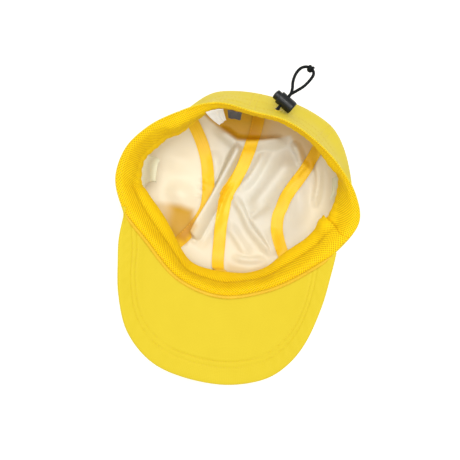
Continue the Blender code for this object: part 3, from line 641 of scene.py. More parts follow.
def cut_lengths(grid):
    """Running lengths across each row from its middle, and along the middle of the rows."""
    across = np.linalg.norm(np.diff(grid, axis=1), axis=2)
    u = np.concatenate([np.zeros((len(grid), 1)), np.cumsum(across, axis=1)], axis=1)
    u -= u[:, -1:] / 2
    along = np.linalg.norm(np.diff(grid, axis=0), axis=2)
    v = np.concatenate([[0], np.cumsum(along.mean(axis=1))])
    return u, np.broadcast_to(v[:, None], u.shape)


def away_from_hub(points, faces):
    """Turns the faces round where they look into the cap."""
    points, faces = np.asarray(points), np.asarray(faces)
    a, b, c = (points[faces[:, k]] for k in range(3))
    normal = np.cross(b - a, c - a)
    outward = np.sum(normal * (a - HUB), axis=1).sum() > 0
    return faces if outward else faces[:, ::-1]


def cloth(name, grid, materials, thickness, gone=None, shades=None, over=()):
    """One sheet of cloth from a grid, thickened, with its outer side away from the cap's middle."""
    rows, cols = grid.shape[:2]
    points = grid.reshape(-1, 3)
    index = np.arange(rows * cols).reshape(rows, cols)
    corners = [index[:-1, :-1], index[1:, :-1], index[1:, 1:], index[:-1, 1:]]
    faces = np.stack(corners, axis=-1).reshape(-1, 4)
    if gone is not None:
        faces = faces[~gone(points[faces].mean(axis=1))]
    faces = away_from_hub(points, faces)
    obj = piece(name, points, faces, materials)
    u, v = cut_lengths(grid)
    cut = np.stack([u.ravel(), v.ravel()], axis=1)
    layer = obj.data.uv_layers.new(name="cut")
    layer.data.foreach_set("uv", cut[faces.ravel()].ravel())
    for shade, values in (shades or {}).items():
        attribute = obj.data.attributes.new(shade, "FLOAT", "POINT")
        attribute.data.foreach_set("value", np.asarray(values, np.float32).ravel())
    pick(obj)
    bpy.ops.object.modifier_add(type="SOLIDIFY")
    wall = obj.modifiers[-1]
    wall.thickness, wall.offset = thickness, 0
    if len(materials) > 1:
        wall.material_offset = 1
    bpy.ops.object.modifier_apply(modifier=wall.name)
    smooth(obj)
    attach(obj, "cap")
    if over:
        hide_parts(*over)


def even_steps(path, step):
    """Places on a path a step apart."""
    path = np.asarray(path, float)
    along = np.concatenate([[0], np.cumsum(np.linalg.norm(np.diff(path, axis=0), axis=1))])
    marks = np.arange(step / 2, along[-1], step)
    return np.stack([np.interp(marks, along, path[:, k]) for k in range(3)], axis=1)


def nearest_ways(path, ways, places):
    """The way given for the nearest point of the path to each place."""
    gaps = np.linalg.norm(places[:, None] - np.asarray(path, float)[None], axis=2)
    return np.asarray(ways, float)[gaps.argmin(axis=1)]


def stitch_shape():
    """One stitch: a plump grain of thread, lying along X."""
    deselect()
    bpy.ops.mesh.primitive_uv_sphere_add(segments=6, ring_count=5, radius=1)
    grain = bpy.context.active_object
    points = np.array([v.co for v in grain.data.vertices])[:, [2, 1, 0]]
    points[:, 2] -= 0.5 * points[:, 0] ** 2
    faces = [list(f.vertices)[::-1] for f in grain.data.polygons]
    bpy.ops.object.delete()
    return points, faces


STITCH, STITCH_FACES = stitch_shape()


def stitches(name, paths, normals, thread, length=2.3 * MM, gap=0.9 * MM, width=0.5 * MM):
    """Rows of stitches along paths, lying on the cloth whose outward ways are given."""
    points, faces = [], []
    for path, outward in zip(paths, normals):
        place = even_steps(path, length + gap)
        if len(place) < 3:
            continue
        up = nearest_ways(path, outward, place)
        way = np.gradient(place, axis=0)
        way /= np.linalg.norm(way, axis=1)[:, None]
        side = np.cross(up, way)
        side /= np.linalg.norm(side, axis=1)[:, None]
        for p, w, s, u in zip(place, way, side, np.cross(way, side)):
            start = len(points) * len(STITCH)
            points.append(p + STITCH[:, :1] * w * length / 2 + STITCH[:, 1:2] * s * width / 2
                          + STITCH[:, 2:] * u * width * 0.42)
            faces += [[k + start for k in face] for face in STITCH_FACES]
    obj = piece(name, np.concatenate(points), faces, [thread])
    smooth(obj, 80)
    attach(obj, "cap")


def tube_mesh(name, path, radius, material, sides=14, closed=False):
    """A round tube along a path, with its own cut map: length along it, share round it."""
    path = np.asarray(path, float)
    count = len(path)
    if closed:
        way = np.roll(path, -1, axis=0) - np.roll(path, 1, axis=0)
    else:
        way = np.gradient(path, axis=0)
    way /= np.linalg.norm(way, axis=1)[:, None]
    up = np.cross(way[0], [0.3, 0.1, 1.0])
    rings, ups = [], []
    for k in range(count):
        up = up - way[k] * (up @ way[k])
        up /= np.linalg.norm(up)
        ups.append(up.copy())
    twist = 0.0
    if closed:
        last = ups[-1] - way[0] * (ups[-1] @ way[0])
        last /= np.linalg.norm(last)
        twist = math.atan2(np.cross(last, ups[0]) @ way[0], last @ ups[0])
    angles = np.linspace(0, 2 * math.pi, sides, endpoint=False)
    for k in range(count):
        side = np.cross(way[k], ups[k])
        turn = angles + twist * k / count
        rings.append(path[k] + radius * (np.cos(turn)[:, None] * ups[k] + np.sin(turn)[:, None] * side))
    points = np.concatenate(rings)
    length = np.concatenate([[0], np.cumsum(np.linalg.norm(np.diff(path, axis=0), axis=1))])
    faces, cut = [], []
    for k in range(count if closed else count - 1):
        n = (k + 1) % count
        for a in range(sides):
            b = (a + 1) % sides
            faces.append((k * sides + a, k * sides + b, n * sides + b, n * sides + a))
            end = length[n] if n else length[-1] + 0.0005
            cut += [(length[k], a / sides), (length[k], (a + 1) / sides),
                    (end, (a + 1) / sides), (end, a / sides)]
    if not closed:
        first, last = list(range(sides))[::-1], [(count - 1) * sides + a for a in range(sides)]
        faces += [first, last]
        cut += [(0, k / sides) for k in first] + [(length[-1], k / sides) for k in range(sides)]
    obj = piece(name, points, faces, [material])
    layer = obj.data.uv_layers.new(name="cut")
    layer.data.foreach_set("uv", np.array(cut, float).ravel())
    smooth(obj, 60)
    return obj


# ------------------------------------------------------------------------------------------
# Camera, then the free cord
# ------------------------------------------------------------------------------------------
VIEW_CENTRE = Vector((-2.7 * MM, -28.6 * MM, 70 * MM))
VIEW_WIDTH, VIEW_DISTANCE, VIEW_TURN = 368 * MM, 3.0, math.radians(9.7)
camera_data = bpy.data.cameras.new("camera")
camera_data.sensor_width = 36
camera_data.lens = 36 * VIEW_DISTANCE / VIEW_WIDTH
camera_data.clip_end = 20
camera = bpy.data.objects.new("camera", camera_data)
camera.location = VIEW_CENTRE + Vector((0, 0, VIEW_DISTANCE))
camera.rotation_euler = (0, 0, VIEW_TURN)
bpy.context.scene.collection.objects.link(camera)
bpy.context.scene.camera = camera


def wall_at(heading, depth, lift):
    """Places raised into the cap from the plain wall, without its folds."""
    chart = wall_chart(np.atleast_1d(heading), np.atleast_1d(depth)).reshape(-1, 2)
    here, inward = plain_frame(chart[:, 0], chart[:, 1])
    return here + inward * lift


SLOT = wall_at(SLOT_HEADING, SLOT_DEPTH, -(SHELL_THICKNESS / 2 + 0.9 * MM))[0]
CORD_WAY = np.array([LOCK_PLACE[0], LOCK_PLACE[1], 0.0])
CORD_WAY /= np.linalg.norm(CORD_WAY)
PRESS_WAY = np.array([0.849903, -0.52694, 0.0])
PRESS_WAY /= np.linalg.norm(PRESS_WAY)
BUTTON_TRAVEL, SPRING_WIRE, SPRING_TURNS = 2.5 * MM, 0.4 * MM, 4
KNOT_SIZE, KNOT_CORD_RADIUS = 0.78 * MM, 1.15 * MM


def strand_path(offsets, side):
    """One strand from the slot, straight through the lock and on to the knot."""
    lock = np.array(LOCK_PLACE) * MM + np.array([0, 0, side * STRAND_SPREAD])
    straight = [SLOT + lock * [share, share, 1] for share in (-0.12, 0, 1, 1.9)]
    points = straight + [SLOT + np.array(p) * MM for p in offsets]
    dense = through(points, np.linspace(0, len(points) - 1, 500))
    along = np.concatenate([[0], np.cumsum(np.linalg.norm(np.diff(dense, axis=0), axis=1))])
    marks = np.linspace(0, along[-1] - 1.6 * MM, 90)
    return np.stack([np.interp(marks, along, dense[:, k]) for k in range(3)], axis=1)


def overhand_knot():
    """The two cord ends tied together in one small overhand knot."""
    turn = np.linspace(0, 2 * math.pi, 120, endpoint=False)
    knot = np.stack([np.sin(turn) + 2 * np.sin(2 * turn), np.cos(turn) - 2 * np.cos(2 * turn),
                     -1.25 * np.sin(3 * turn)], axis=1) * KNOT_SIZE
    tilt = np.array(Matrix.Rotation(0.9, 3, "Y") @ Matrix.Rotation(0.5, 3, "X"))
    path = knot @ tilt.T + np.array(KNOT_CENTRE)
    obj = tube_mesh("overhand_knot", path, KNOT_CORD_RADIUS, CORD, sides=16, closed=True)
    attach(obj, "cap")
    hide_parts("cord_knot")
    return obj


def button_spring():
    """The coil spring behind the lock's button, as long as the model's spring."""
    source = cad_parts["cord_lock_spring"]
    held = np.array([source.matrix_world @ v.co for v in source.data.vertices])
    reach = held @ PRESS_WAY
    low, high = reach.min() + SPRING_WIRE / 2, reach.max() - SPRING_WIRE / 2
    centre = (held.min(axis=0) + held.max(axis=0)) / 2
    centre -= PRESS_WAY * (centre @ PRESS_WAY)
    radius = (held[:, 2].max() - held[:, 2].min() - SPRING_WIRE) / 2
    turn = np.linspace(0, 2 * math.pi * SPRING_TURNS, 24 * SPRING_TURNS + 1)
    side = np.cross(PRESS_WAY, [0, 0, 1])
    path = (centre + np.linspace(high, low, len(turn))[:, None] * PRESS_WAY
            + radius * (np.cos(turn)[:, None] * np.array([0, 0, 1.0]) + np.sin(turn)[:, None] * side))
    obj = tube_mesh("button_spring", path, SPRING_WIRE / 2, STEEL, sides=10)
    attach(obj, "cord_lock")
    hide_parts("cord_lock_spring")
    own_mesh(obj)
    return obj


KNOT = overhand_knot()
SPRING = button_spring()
for strand, route, side in (("upper", UPPER_STRAND, 1), ("lower", LOWER_STRAND, -1)):
    path = strand_path(route, side)
    cord = tube_mesh(f"cord_strand_{strand}", path, CORD_DIAMETER / 2, CORD)
    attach(cord, "cap")
    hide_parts(f"cord_loop_{strand}")


# ------------------------------------------------------------------------------------------
# Crown: four panels, three seam tapes, sweatband
# ------------------------------------------------------------------------------------------
def seam_at(seam, share):
    """The chart place a share of the way along a seam."""
    return through(seam, np.asarray(share) * (len(seam) - 1))


def between(left, right, a, q):
    """Places between two seams whose ends lie on the rim: a across, q from the brim to the back."""
    place = (1 - a)[:, None] * seam_at(left, q) + a[:, None] * seam_at(right, q)
    end = np.where(q < 0.5, 0.0, 1.0)
    at_end = (1 - a)[:, None] * seam_at(left, end) + a[:, None] * seam_at(right, end)
    pull = np.abs(2 * q - 1) ** 3
    return place * (1 + (1 / np.linalg.norm(at_end, axis=1) - 1) * pull)[:, None]


def top_chart(left, right, rows=250, cols=64):
    """Chart places of a top panel, between two seams."""
    q, a = np.meshgrid(np.linspace(0, 1, rows), np.linspace(0, 1, cols), indexing="ij")
    return between(left, right, a.ravel(), q.ravel()).reshape(rows, cols, 2)


def side_chart(seam, turn, rows=230, cols=72):
    """Chart places of a side panel, from its seam out to the rim; turn is -1 at the left."""
    ends = [math.degrees(math.atan2(x, -y)) for x, y in (seam[0], seam[-1])]
    if turn < 0:
        ends = [e % 360 for e in ends]
    q, a = np.meshgrid(np.linspace(0.006, 0.994, rows), np.linspace(0, 1, cols), indexing="ij")
    heading = np.radians(ends[0] + (ends[1] - ends[0]) * q)
    rim = np.stack([np.sin(heading), -np.cos(heading)], axis=-1)
    start = between(seam, seam, np.zeros(q.size), q.ravel()).reshape(*q.shape, 2)
    return (1 - a)[..., None] * start + a[..., None] * rim


# Outlines in millimetres, seen from above, of the painted shade: the back wall under the rim, the
# front-left corner under the sweatband and the front under its edge
BACK_SHADE_OUTLINE = [(-42, 62), (-28.5, 53.7), (-19.6, 49.7), (-9.4, 44.8), (5.3, 46.5), (20.8, 50.6),
               (33, 55.5), (40, 46), (45, 36), (50, 33), (55, 29), (58, 32), (58, 42), (57, 52),
               (60, 75), (20, 100), (-30, 95), (-52, 78)]
CORNER_SHADE_OUTLINE = [(-74, -17), (-60, -15), (-46, -15), (-35, -17), (-31, -30), (-36, -46), (-60, -40)]
FRONT_SHADE_OUTLINE = [(0, -55), (18, -56), (31, -50), (40, -56), (20, -75), (-4, -70)]


def in_outline(x, y, outline, blur):
    """1 well inside an outline, 0 well outside, and smooth across its edge."""
    outline = np.asarray(outline, float)
    gap, inside = np.full(x.shape, 1e9), np.zeros(x.shape, bool)
    for a, b in zip(outline, np.roll(outline, -1, axis=0)):
        way = b - a
        t = np.clip(((x - a[0]) * way[0] + (y - a[1]) * way[1]) / (way @ way), 0, 1)
        gap = np.minimum(gap, np.hypot(x - a[0] - t * way[0], y - a[1] - t * way[1]))
        if way[1]:
            crosses = ((a[1] > y) != (b[1] > y)) & (x < a[0] + (y - a[1]) / way[1] * way[0])
            inside ^= crosses
    return ease(np.where(inside, gap, -gap), -blur, blur)


def painted_shade(grid):
    """How much painted shade, in brown-gold, the pale inside and the seam tapes get: a little everywhere
    but the middle of the floor, most on the back wall under the rim and in the two hollows under the
    sweatband."""
    x, y = grid[..., 0] / MM, grid[..., 1] / MM
    # Painted shade: faint away from the floor's middle; on the back wall less to the right, in the
    # front-left corner more to the right, at the front a little under half
    shade_amount = 0.13 * (1 - np.exp(-(((x - 4) / 30) ** 2 + ((y - 12) / 30) ** 2)))
    shade_amount = np.maximum(shade_amount, (1.0 - 0.42 * ease(x, -2, 24)) * in_outline(x, y, BACK_SHADE_OUTLINE, 2.0))
    corner = in_outline(x, y, CORNER_SHADE_OUTLINE, 4.5) * (0.55 + 0.45 * ease(x, -62, -48))
    shade_amount = np.maximum(shade_amount, corner)
    return np.maximum(shade_amount, 0.45 * in_outline(x, y, FRONT_SHADE_OUTLINE, 4.5))


def painted_light(grid):
    """How much painted light, a paler and yellower cream, the inside gets at the sides and the front of
    the crown, where light shines through the thin cloth.
    """
    x, y = grid[..., 0] / MM, grid[..., 1] / MM
    sides = np.maximum(ease(-x, 14, 42), ease(x, 48, 64))
    return np.maximum(sides, 0.75 * ease(-y, 22, 50))


def hem_zone(chart):
    """1 where the shell is turned over at the rim, 0 on the lining."""
    x, y = chart[..., 0], chart[..., 1]
    heading = np.degrees(np.arctan2(x, -y)) % 360
    depth = (1 - np.minimum(np.hypot(x, y), 1)) * wall_length(heading)
    return 1 - ease(depth, 6 * MM, 7 * MM)


SLOT_HALF_WIDTH, SLOT_HALF_HEIGHT = 1.7 * MM, 3.1 * MM


def through_slot(places):
    """The faces round the drawcord's slot, which are left out."""
    offset = places - SLOT
    along_wall = offset - CORD_WAY * (offset @ CORD_WAY)[:, None]
    level = np.array([CORD_WAY[1], -CORD_WAY[0], 0])
    inside = np.hypot(along_wall @ level / SLOT_HALF_WIDTH, along_wall[:, 2] / SLOT_HALF_HEIGHT) < 1
    return inside & (np.abs(offset @ CORD_WAY) < 6 * MM)


PANELS = {
    "left": (side_chart(LEFT_SEAM, -1), "crown_panel_left"),
    "left_top": (top_chart(LEFT_SEAM, CENTRE_SEAM), "crown_panel_left_top"),
    "right_top": (top_chart(CENTRE_SEAM, RIGHT_SEAM), "crown_panel_right_top"),
    "right": (side_chart(RIGHT_SEAM, 1), "crown_panel_right"),
}
for panel, (chart, node) in PANELS.items():
    grid = crown_grid(chart)
    # Each panel carries painted shade, painted light and the hem as attributes
    shades = {"painted_shade": painted_shade(grid), "hem": hem_zone(chart), "painted_light": painted_light(grid)}
    cloth(f"crown_{panel}", grid, [SHELL, LINING], SHELL_THICKNESS,
          gone=through_slot if panel == "right_top" else None, shades=shades, over=[node])


def seam_strip(seam, halfwidth, count, shares=(0.01, 0.99), cols=9):
    """Chart places of a strip of even real width that follows a seam."""
    q = np.linspace(*shares, count)
    step = 0.01
    here = seam_at(seam, q)
    ahead = seam_at(seam, q + step) - seam_at(seam, q - step)
    sideways = np.stack([ahead[:, 1], -ahead[:, 0]], axis=1) / np.linalg.norm(ahead, axis=1)[:, None]
    one, two = here + sideways * step, here - sideways * step
    metres = np.linalg.norm(on_chart(one[:, 0], one[:, 1]) - on_chart(two[:, 0], two[:, 1]), axis=1)
    half = halfwidth * 2 * step / metres
    k = np.linspace(-1, 1, cols)
    return here[:, None] + sideways[:, None] * half[:, None, None] * k[None, :, None]


TAPE_ARCH, TAPE_COLUMNS = 0.35 * MM, 13
for name, seam in (("left", LEFT_SEAM), ("centre", CENTRE_SEAM), ("right", RIGHT_SEAM)):
    chart = seam_strip(seam, TAPE_WIDTH / 2, 260, cols=TAPE_COLUMNS)
    arch = TAPE_ARCH * (1 - np.abs(np.linspace(-1, 1, TAPE_COLUMNS)) ** 3)
    under = 1 if name == "left" else 0
    grid = crown_grid(chart, TAPE_LIFT + arch[None, :], under)
    # Each tape takes the same painted shade as the lining under it
    cloth(f"seam_tape_{name}_strip", grid, [TAPE], 0.4 * MM,
          shades={"painted_shade": painted_shade(grid)},
          over=[f"seam_tape_{name}"])
    paths, ways = [], []
    for column in (1, TAPE_COLUMNS - 2):
        x, y = chart[:, column, 0], chart[:, column, 1]
        place, inward = crown_frame(x, y, under)
        paths.append(place + inward * (TAPE_LIFT + TAPE_ARCH))
        ways.append(inward)
    stitches(f"tape_stitching_{name}", paths, ways, GOLD_THREAD, 1.9 * MM, 0.8 * MM,
             0.32 * MM)
    paths, ways = [], []
    for row in seam_strip(seam, 2.6 * MM, 260, (0.004, 0.996), cols=2).transpose(1, 0, 2):
        place, inward = crown_frame(row[:, 0], row[:, 1])
        paths.append(place - inward * (SHELL_THICKNESS / 2 + 0.08 * MM))
        ways.append(-inward)
    stitches(f"seam_topstitching_{name}", paths, ways, THREAD, width=0.45 * MM)


def over_channel(heading):
    """1 where the band passes over the cord channel, 0 elsewhere."""
    heading = np.asarray(heading) % 360
    return (ease(heading, CHANNEL_FROM - 14, CHANNEL_FROM - 3)
            - ease(heading, CHANNEL_TO + 3, CHANNEL_TO + 14))


def band_joint(depth):
    """The heading where the band's two ends meet, on a slant from the rim to its free edge."""
    return 75.5 + 8.5 * ease(depth, 4 * MM, BAND_WIDTH)


def band_lift(heading, depth):
    """How far the sweatband stands off the wall: over the cord channel, at its lap and in gathers."""
    rise = over_channel(heading) * ease(depth, 1 * MM, 10.5 * MM)
    base = BAND_LIFT + (REAR_BAND_LIFT - BAND_LIFT) * rise
    d = depth / BAND_WIDTH
    turn = np.asarray(heading) % 360
    front = 1 - ease(np.minimum(turn, 360 - turn), 72, 96)
    crease = -1.1 * MM * np.exp(-(((d - 0.56) / 0.07) ** 2)) * front
    puff = 0.9 * MM * np.sin(np.clip(d / 0.52, 0, 1) * math.pi) * front
    lap = ease(heading - band_joint(depth), 346, 357) * (1.1 + 2.3 * ease(d, 0.2, 0.8)) * MM
    round_cap = np.radians(turn)
    gather = 0.22 * MM * (1 - front) * ease(d, 0.05, 0.4) * np.sin(round_cap * 74 + 2 * np.sin(d * 5))
    slack = 0.25 * MM * ease(d, 0.3, 1) * np.sin(round_cap * 11 + 1.4 * np.sin(round_cap * 5))
    open_lift = base + crease + puff + lap + gather + slack
    rim_lift = (1.0 + 0.95 * ease(heading - band_joint(depth), 355, 360)) * MM
    return rim_lift + (open_lift - rim_lift) * ease(depth, -0.5 * MM, 6 * MM)


BAND_THICKNESS, EDGE_TURN = 0.9 * MM, 1.2 * MM
BAND_TURN, LAP_TURN = 360, 2.2
band_depths = np.linspace(0.25 * MM, BAND_WIDTH, 30)
shares, depths = np.meshgrid(np.linspace(0, BAND_TURN + LAP_TURN, 766), band_depths, indexing="ij")
turns = band_joint(depths) + shares
edge_roll = 0.5 * MM * (np.exp(-(((depths - band_depths[-1]) / EDGE_TURN) ** 2))
                        + np.exp(-(((depths - band_depths[0]) / EDGE_TURN) ** 2)))
band_grid = crown_grid(chart_of(turns, depths), band_lift(turns, depths) - edge_roll)
plain_zone = ease(depths, 0.6 * BAND_WIDTH, 0.72 * BAND_WIDTH)
cloth("sweatband_mesh", band_grid, [MESH], BAND_THICKNESS,
      shades={"plain": plain_zone}, over=["sweatband"])


def wall_row(turns, depth, lift):
    """A row of places round the wall at one depth, with the ways that face into the cap."""
    chart = wall_chart(turns, np.array([depth]))[:, 0]
    place, inward = crown_frame(chart[:, 0], chart[:, 1])
    return place + inward * np.broadcast_to(lift, len(turns))[:, None], inward


def band_row(depth, over):
    turns = float(band_joint(depth)) + np.linspace(1, 358.6, 700)
    return wall_row(turns, depth, band_lift(turns, depth) + over)


# Rows of stitches: depth below the rim and height over the band; then the shell's own rows outside
FLAT_STITCH = 0.42 * MM
band_places, band_ways = zip(*(band_row(*row) for row in ((3 * MM, 0.5 * MM), (30.2 * MM, 0.35 * MM))))
stitches("sweatband_stitching", band_places, band_ways, GOLD_THREAD, width=FLAT_STITCH)

OUTSIDE = -0.48 * MM
hem_turns = np.linspace(70, 285, 500)
channel_turns = np.linspace(CHANNEL_FROM, CHANNEL_TO, 260)
HEM_ROWS = ((hem_turns, 2.4 * MM), (channel_turns, 10.6 * MM), (channel_turns, 23.4 * MM))
hem_places, hem_ways = zip(*(wall_row(*row, OUTSIDE) for row in HEM_ROWS))
stitches("hem_stitching", hem_places, [-ways for ways in hem_ways], THREAD,
         width=FLAT_STITCH)

# The labels and patches: piece, finish, slot, what it stands for and lies on; its headings and its
# depths in millimetres, each from, to and how many; and how far its free end curls in
SEWN_ON = [
    ("white_care_label", LABEL, "label_satin", "care_label", "sweatband_mesh",
     (198, 211, 26), (7, 28, 30), 13),
    ("dark_size_label", DARK_LABEL, "label_satin", "size_label", "sweatband_mesh",
     (186, 195, 20), (9, 26, 24), 11),
    ("side_patch_left", SIDE_PATCH, "side_tape", "side_tape_left", "crown_left",
     (253, 279, 40), (24, 54, 32), 17),
    ("side_patch_right", SIDE_PATCH, "side_tape", "side_tape_right", "crown_right",
     (96, 113, 30), (24, 54, 32), 14),
]
LABEL_THICKNESS, LABEL_GAP, PATCH_GAP = 0.35 * MM, 1.3 * MM, 1.5 * MM


def sewn_on(name, finish, slot, node, beneath, headings, depths, curl):
    """A label or patch sewn on at its top edge, whose free end curls into the cap."""
    headings, depths = np.linspace(*headings), np.linspace(*depths) * MM
    h, d = np.meshgrid(headings, depths, indexing="ij")
    free = (d - d.min()) / (d.max() - d.min())
    if beneath == "sweatband_mesh":
        lift = band_lift(h, d) + LABEL_GAP + curl * MM * free**1.5
        grid = crown_grid(wall_chart(headings, depths), lift)
    else:
        lift = PATCH_GAP + curl * MM * free**1.4
        grid = wall_at(headings, depths, lift.reshape(-1, 1)).reshape(*h.shape, 3)
    cloth(name, grid, [finish], LABEL_THICKNESS, over=[node])


for row in SEWN_ON:
    sewn_on(*row)


def buttonhole():
    """Close wraps of thread round the slot that the drawcord leaves by."""
    turn = np.linspace(0, 2 * math.pi, 90, endpoint=False)
    centre = wall_at(SLOT_HEADING, SLOT_DEPTH, -(SHELL_THICKNESS / 2 + 0.15 * MM))[0]
    level = np.array([CORD_WAY[1], -CORD_WAY[0], 0])
    out = wall_at(SLOT_HEADING, SLOT_DEPTH, -2 * MM)[0] - wall_at(SLOT_HEADING, SLOT_DEPTH, 0)[0]
    out /= np.linalg.norm(out)
    level = level - out * (level @ out)
    level /= np.linalg.norm(level)
    upward = np.cross(out, level)
    radius = 1 + 0.03 * np.sin(turn * 30)
    half_width, half_height, wrap = SLOT_HALF_WIDTH + 0.6 * MM, SLOT_HALF_HEIGHT + 0.6 * MM, 0.62 * MM
    path = (centre + (np.cos(turn) * half_width * radius)[:, None] * level
            + (np.sin(turn) * half_height * radius)[:, None] * upward)
    obj = tube_mesh("buttonhole_stitching", path, wrap, THREAD, sides=8, closed=True)
    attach(obj, "cap")


buttonhole()


# ------------------------------------------------------------------------------------------
# Brim
# ------------------------------------------------------------------------------------------
BRIM_ROOT, CORNER_TUCK = 0.9 * MM, 1.1 * MM


def brim_frame(u, v, lift):
    """Places on the brim: u from its left corner to its right, v from the rim outwards."""
    left, right, front = (crown_place(np.array([float(h)]), 0)[0] for h in (BRIM_LEFT, BRIM_RIGHT, 0))
    u, v = np.asarray(u, float), np.asarray(v, float)
    heading = BRIM_LEFT + (BRIM_RIGHT - BRIM_LEFT) * u
    rim = crown_place(heading, np.zeros(u.shape))
    outward = np.stack([np.sin(np.radians(heading)), -np.cos(np.radians(heading)), 0 * u], axis=1)
    at_corner = 1 - ease(np.minimum(u, 1 - u), 0, 0.045)
    rim = rim + outward * (BRIM_ROOT - CORNER_TUCK * at_corner)[:, None]
    rim[:, 2] -= CORNER_TUCK * at_corner
    x_share, y_share = through(BRIM_EDGE, u * (len(BRIM_EDGE) - 1)).T
    corner = left + (right - left) * u[:, None]
    half_width = (right[0] - left[0]) / 2 - BRIM_TUCK
    edge = np.stack([x_share * half_width,
                     corner[:, 1] + (front[1] - BRIM_LENGTH - corner[:, 1]) * y_share,
                     front[2] - BRIM_DROP * y_share
                     + (corner[:, 2] - front[2]) * np.minimum(np.abs(x_share), 1) ** 2], axis=1)
    place = rim + (edge - rim) * v[:, None]
    place[:, 2] += lift
    return place, np.linalg.norm(edge - rim, axis=1)


STITCH_INSETS = (13.6 * MM, 18.2 * MM)


def brim_lift(reach, v, u, side):
    """The cover's height over the brim's middle: rounded at the edge, pressed in at the stitching."""
    inset = (1 - v) * reach
    full, closed, roll = 1.65 * MM, 0.42 * MM, 4.4 * MM
    share = np.clip(inset / roll, 0, 1)
    height = closed + (full - closed) * np.sqrt(1 - (1 - share) ** 2)
    for row in STITCH_INSETS:
        height -= 0.6 * MM * np.exp(-(((inset - row) / (0.8 * MM)) ** 2))
    height += 0.16 * MM * np.sin(u * 190 + side) * np.exp(-(((inset - 9 * MM) / (4 * MM)) ** 2))
    height += 0.35 * MM * np.sin(u * 9 + inset / MM / 13 + side) * ease(inset, 18 * MM, 30 * MM)
    return side * height


def brim_cover(name, side, node):
    """One of the brim's two covers, its edge drawn in a little to the seam."""
    u, t = np.meshgrid(np.linspace(0.004, 0.996, 270), np.linspace(0, 1, 66), indexing="ij")
    v = 1 - (1 - t) ** 1.35
    flat_u, flat_v = u.ravel(), v.ravel()
    _, reach = brim_frame(flat_u, flat_v, 0)
    flat_v = flat_v - 0.45 * MM / reach * (1 - flat_v)
    place, _ = brim_frame(flat_u, flat_v, brim_lift(reach, flat_v, flat_u, side))
    cloth(name, place.reshape(*u.shape, 3), [BRIM_CLOTH], 0.7 * MM,
          over=[node])


brim_cover("brim_cloth_crown_side", -1, "brim_cover_crown_side")
brim_cover("brim_cloth_face_side", 1, "brim_cover_face_side")
for side, label in ((1, "face"), (-1, "crown")):
    paths = []
    for row in STITCH_INSETS:
        u = np.linspace(0.045, 0.955, 500)
        _, reach = brim_frame(u, u, 0)
        keep = reach > row + 8 * MM
        u, reach = u[keep], reach[keep]
        v = 1 - row / reach
        place, _ = brim_frame(u, v, brim_lift(reach, v, u, side) + side * 0.38 * MM)
        paths.append(place)
    up = [np.tile([0.0, 0.0, float(side)], (len(p), 1)) for p in paths]
    stitches(f"brim_stitching_{label}_side", paths, up, THREAD, 2.6 * MM, 1.0 * MM,
             0.5 * MM)

binding_turns = np.linspace(BRIM_LEFT + 4, BRIM_RIGHT - 3, 420)
binding_rim = crown_place(binding_turns, np.zeros(binding_turns.shape))
binding_out = np.stack([np.sin(np.radians(binding_turns)), -np.cos(np.radians(binding_turns)),
                        0 * binding_turns], axis=1)
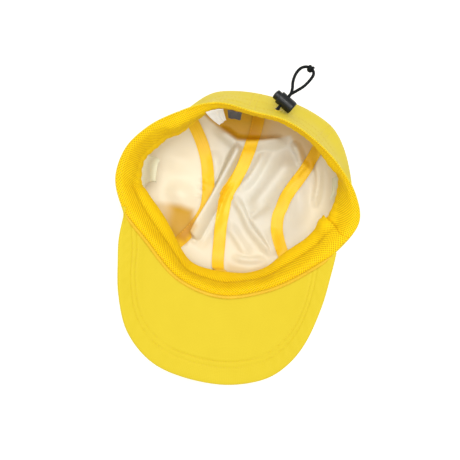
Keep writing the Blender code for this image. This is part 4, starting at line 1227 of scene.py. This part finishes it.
# Across the piping, in millimetres out and up: from the rim on the inside, then over the brim's edge
PIPING_ACROSS = [(-0.85, 0.15), (-0.95, 0.7), (-1.0, 1.3), (-0.95, 1.9), (-0.7, 2.45), (-0.25, 2.75),
                 (0.35, 2.9), (1.0, 2.85), (1.6, 2.5)]
across = through(PIPING_ACROSS, np.linspace(0, 8, 17)) * MM
from_end = np.minimum(binding_turns - binding_turns[0], binding_turns[-1] - binding_turns)
fullness = 0.45 + 0.55 * ease(from_end, 0, 7)
binding_grid = (binding_rim[:, None]
                + binding_out[:, None] * (across[None, :, 0] * fullness[:, None])[..., None])
binding_grid[..., 2] += across[None, :, 1] * fullness[:, None]
cloth("brim_seam_piping", binding_grid, [BINDING], 0.5 * MM,
      over=["brim_seam_binding"])
piping_row = binding_grid[:, 13] + [0, 0, 0.3 * MM]
stitches("piping_stitching", [piping_row], [np.tile([0, 0, 1.0], (len(piping_row), 1))], GOLD_THREAD,
         width=0.36 * MM)


# ------------------------------------------------------------------------------------------
# Parts kept from the model, with their own finishes
# ------------------------------------------------------------------------------------------
def refinish(node, material):
    """Gives a kept part its finish."""
    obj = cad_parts[node]
    if obj.material_slots:
        for holder in obj.material_slots:
            holder.material = material
    else:
        obj.data.materials.append(material)


CHANNEL_CLOTH = sewing_thread("channel_cloth", (0.84, 0.55, 0.03), (0.74, 0.45, 0.02))
HELD_CORD = sewing_thread("held_cord", (0.022, 0.025, 0.027), (0.006, 0.007, 0.008))
for node, material in {"brim_board": BOARD, "cord_channel": CHANNEL_CLOTH, "drawcord_left": HELD_CORD,
                       "drawcord_right": HELD_CORD, "cord_lock_barrel": BLACK,
                       "cord_lock_button": BLACK}.items():
    refinish(node, material)

# ------------------------------------------------------------------------------------------
# Floor and light
# ------------------------------------------------------------------------------------------
deselect()
bpy.ops.mesh.primitive_plane_add(size=8, location=(0, 0, 0))
floor = bpy.context.active_object
floor.name = "studio_floor"
floor.data.materials.append(studio_white())
deselect()

SKY_STRENGTH = 0.64
world = bpy.data.worlds.new("studio")
world.use_nodes = True
sky = world.node_tree.nodes["Background"]
sky.inputs["Color"].default_value = (1.0, 1.0, 1.0, 1)
sky.inputs["Strength"].default_value = SKY_STRENGTH
bpy.context.scene.world = world

LIT_PLACE = Vector((0, 0, 0.03))


def softbox(name, place, power, size):
    """A square lamp that faces the cap."""
    data = bpy.data.lights.new(name, "AREA")
    data.energy, data.size = power, size
    lamp = bpy.data.objects.new(name, data)
    lamp.location = place
    lamp.rotation_euler = (LIT_PLACE - Vector(place)).to_track_quat("-Z", "Y").to_euler()
    bpy.context.scene.collection.objects.link(lamp)


softbox("key_softbox", (0.05, 0.45, 2.4), power=42, size=1.3)
softbox("front_softbox", (0.3, -1.6, 2.0), power=8, size=1.2)
bpy.context.scene.view_settings.view_transform = "Standard"
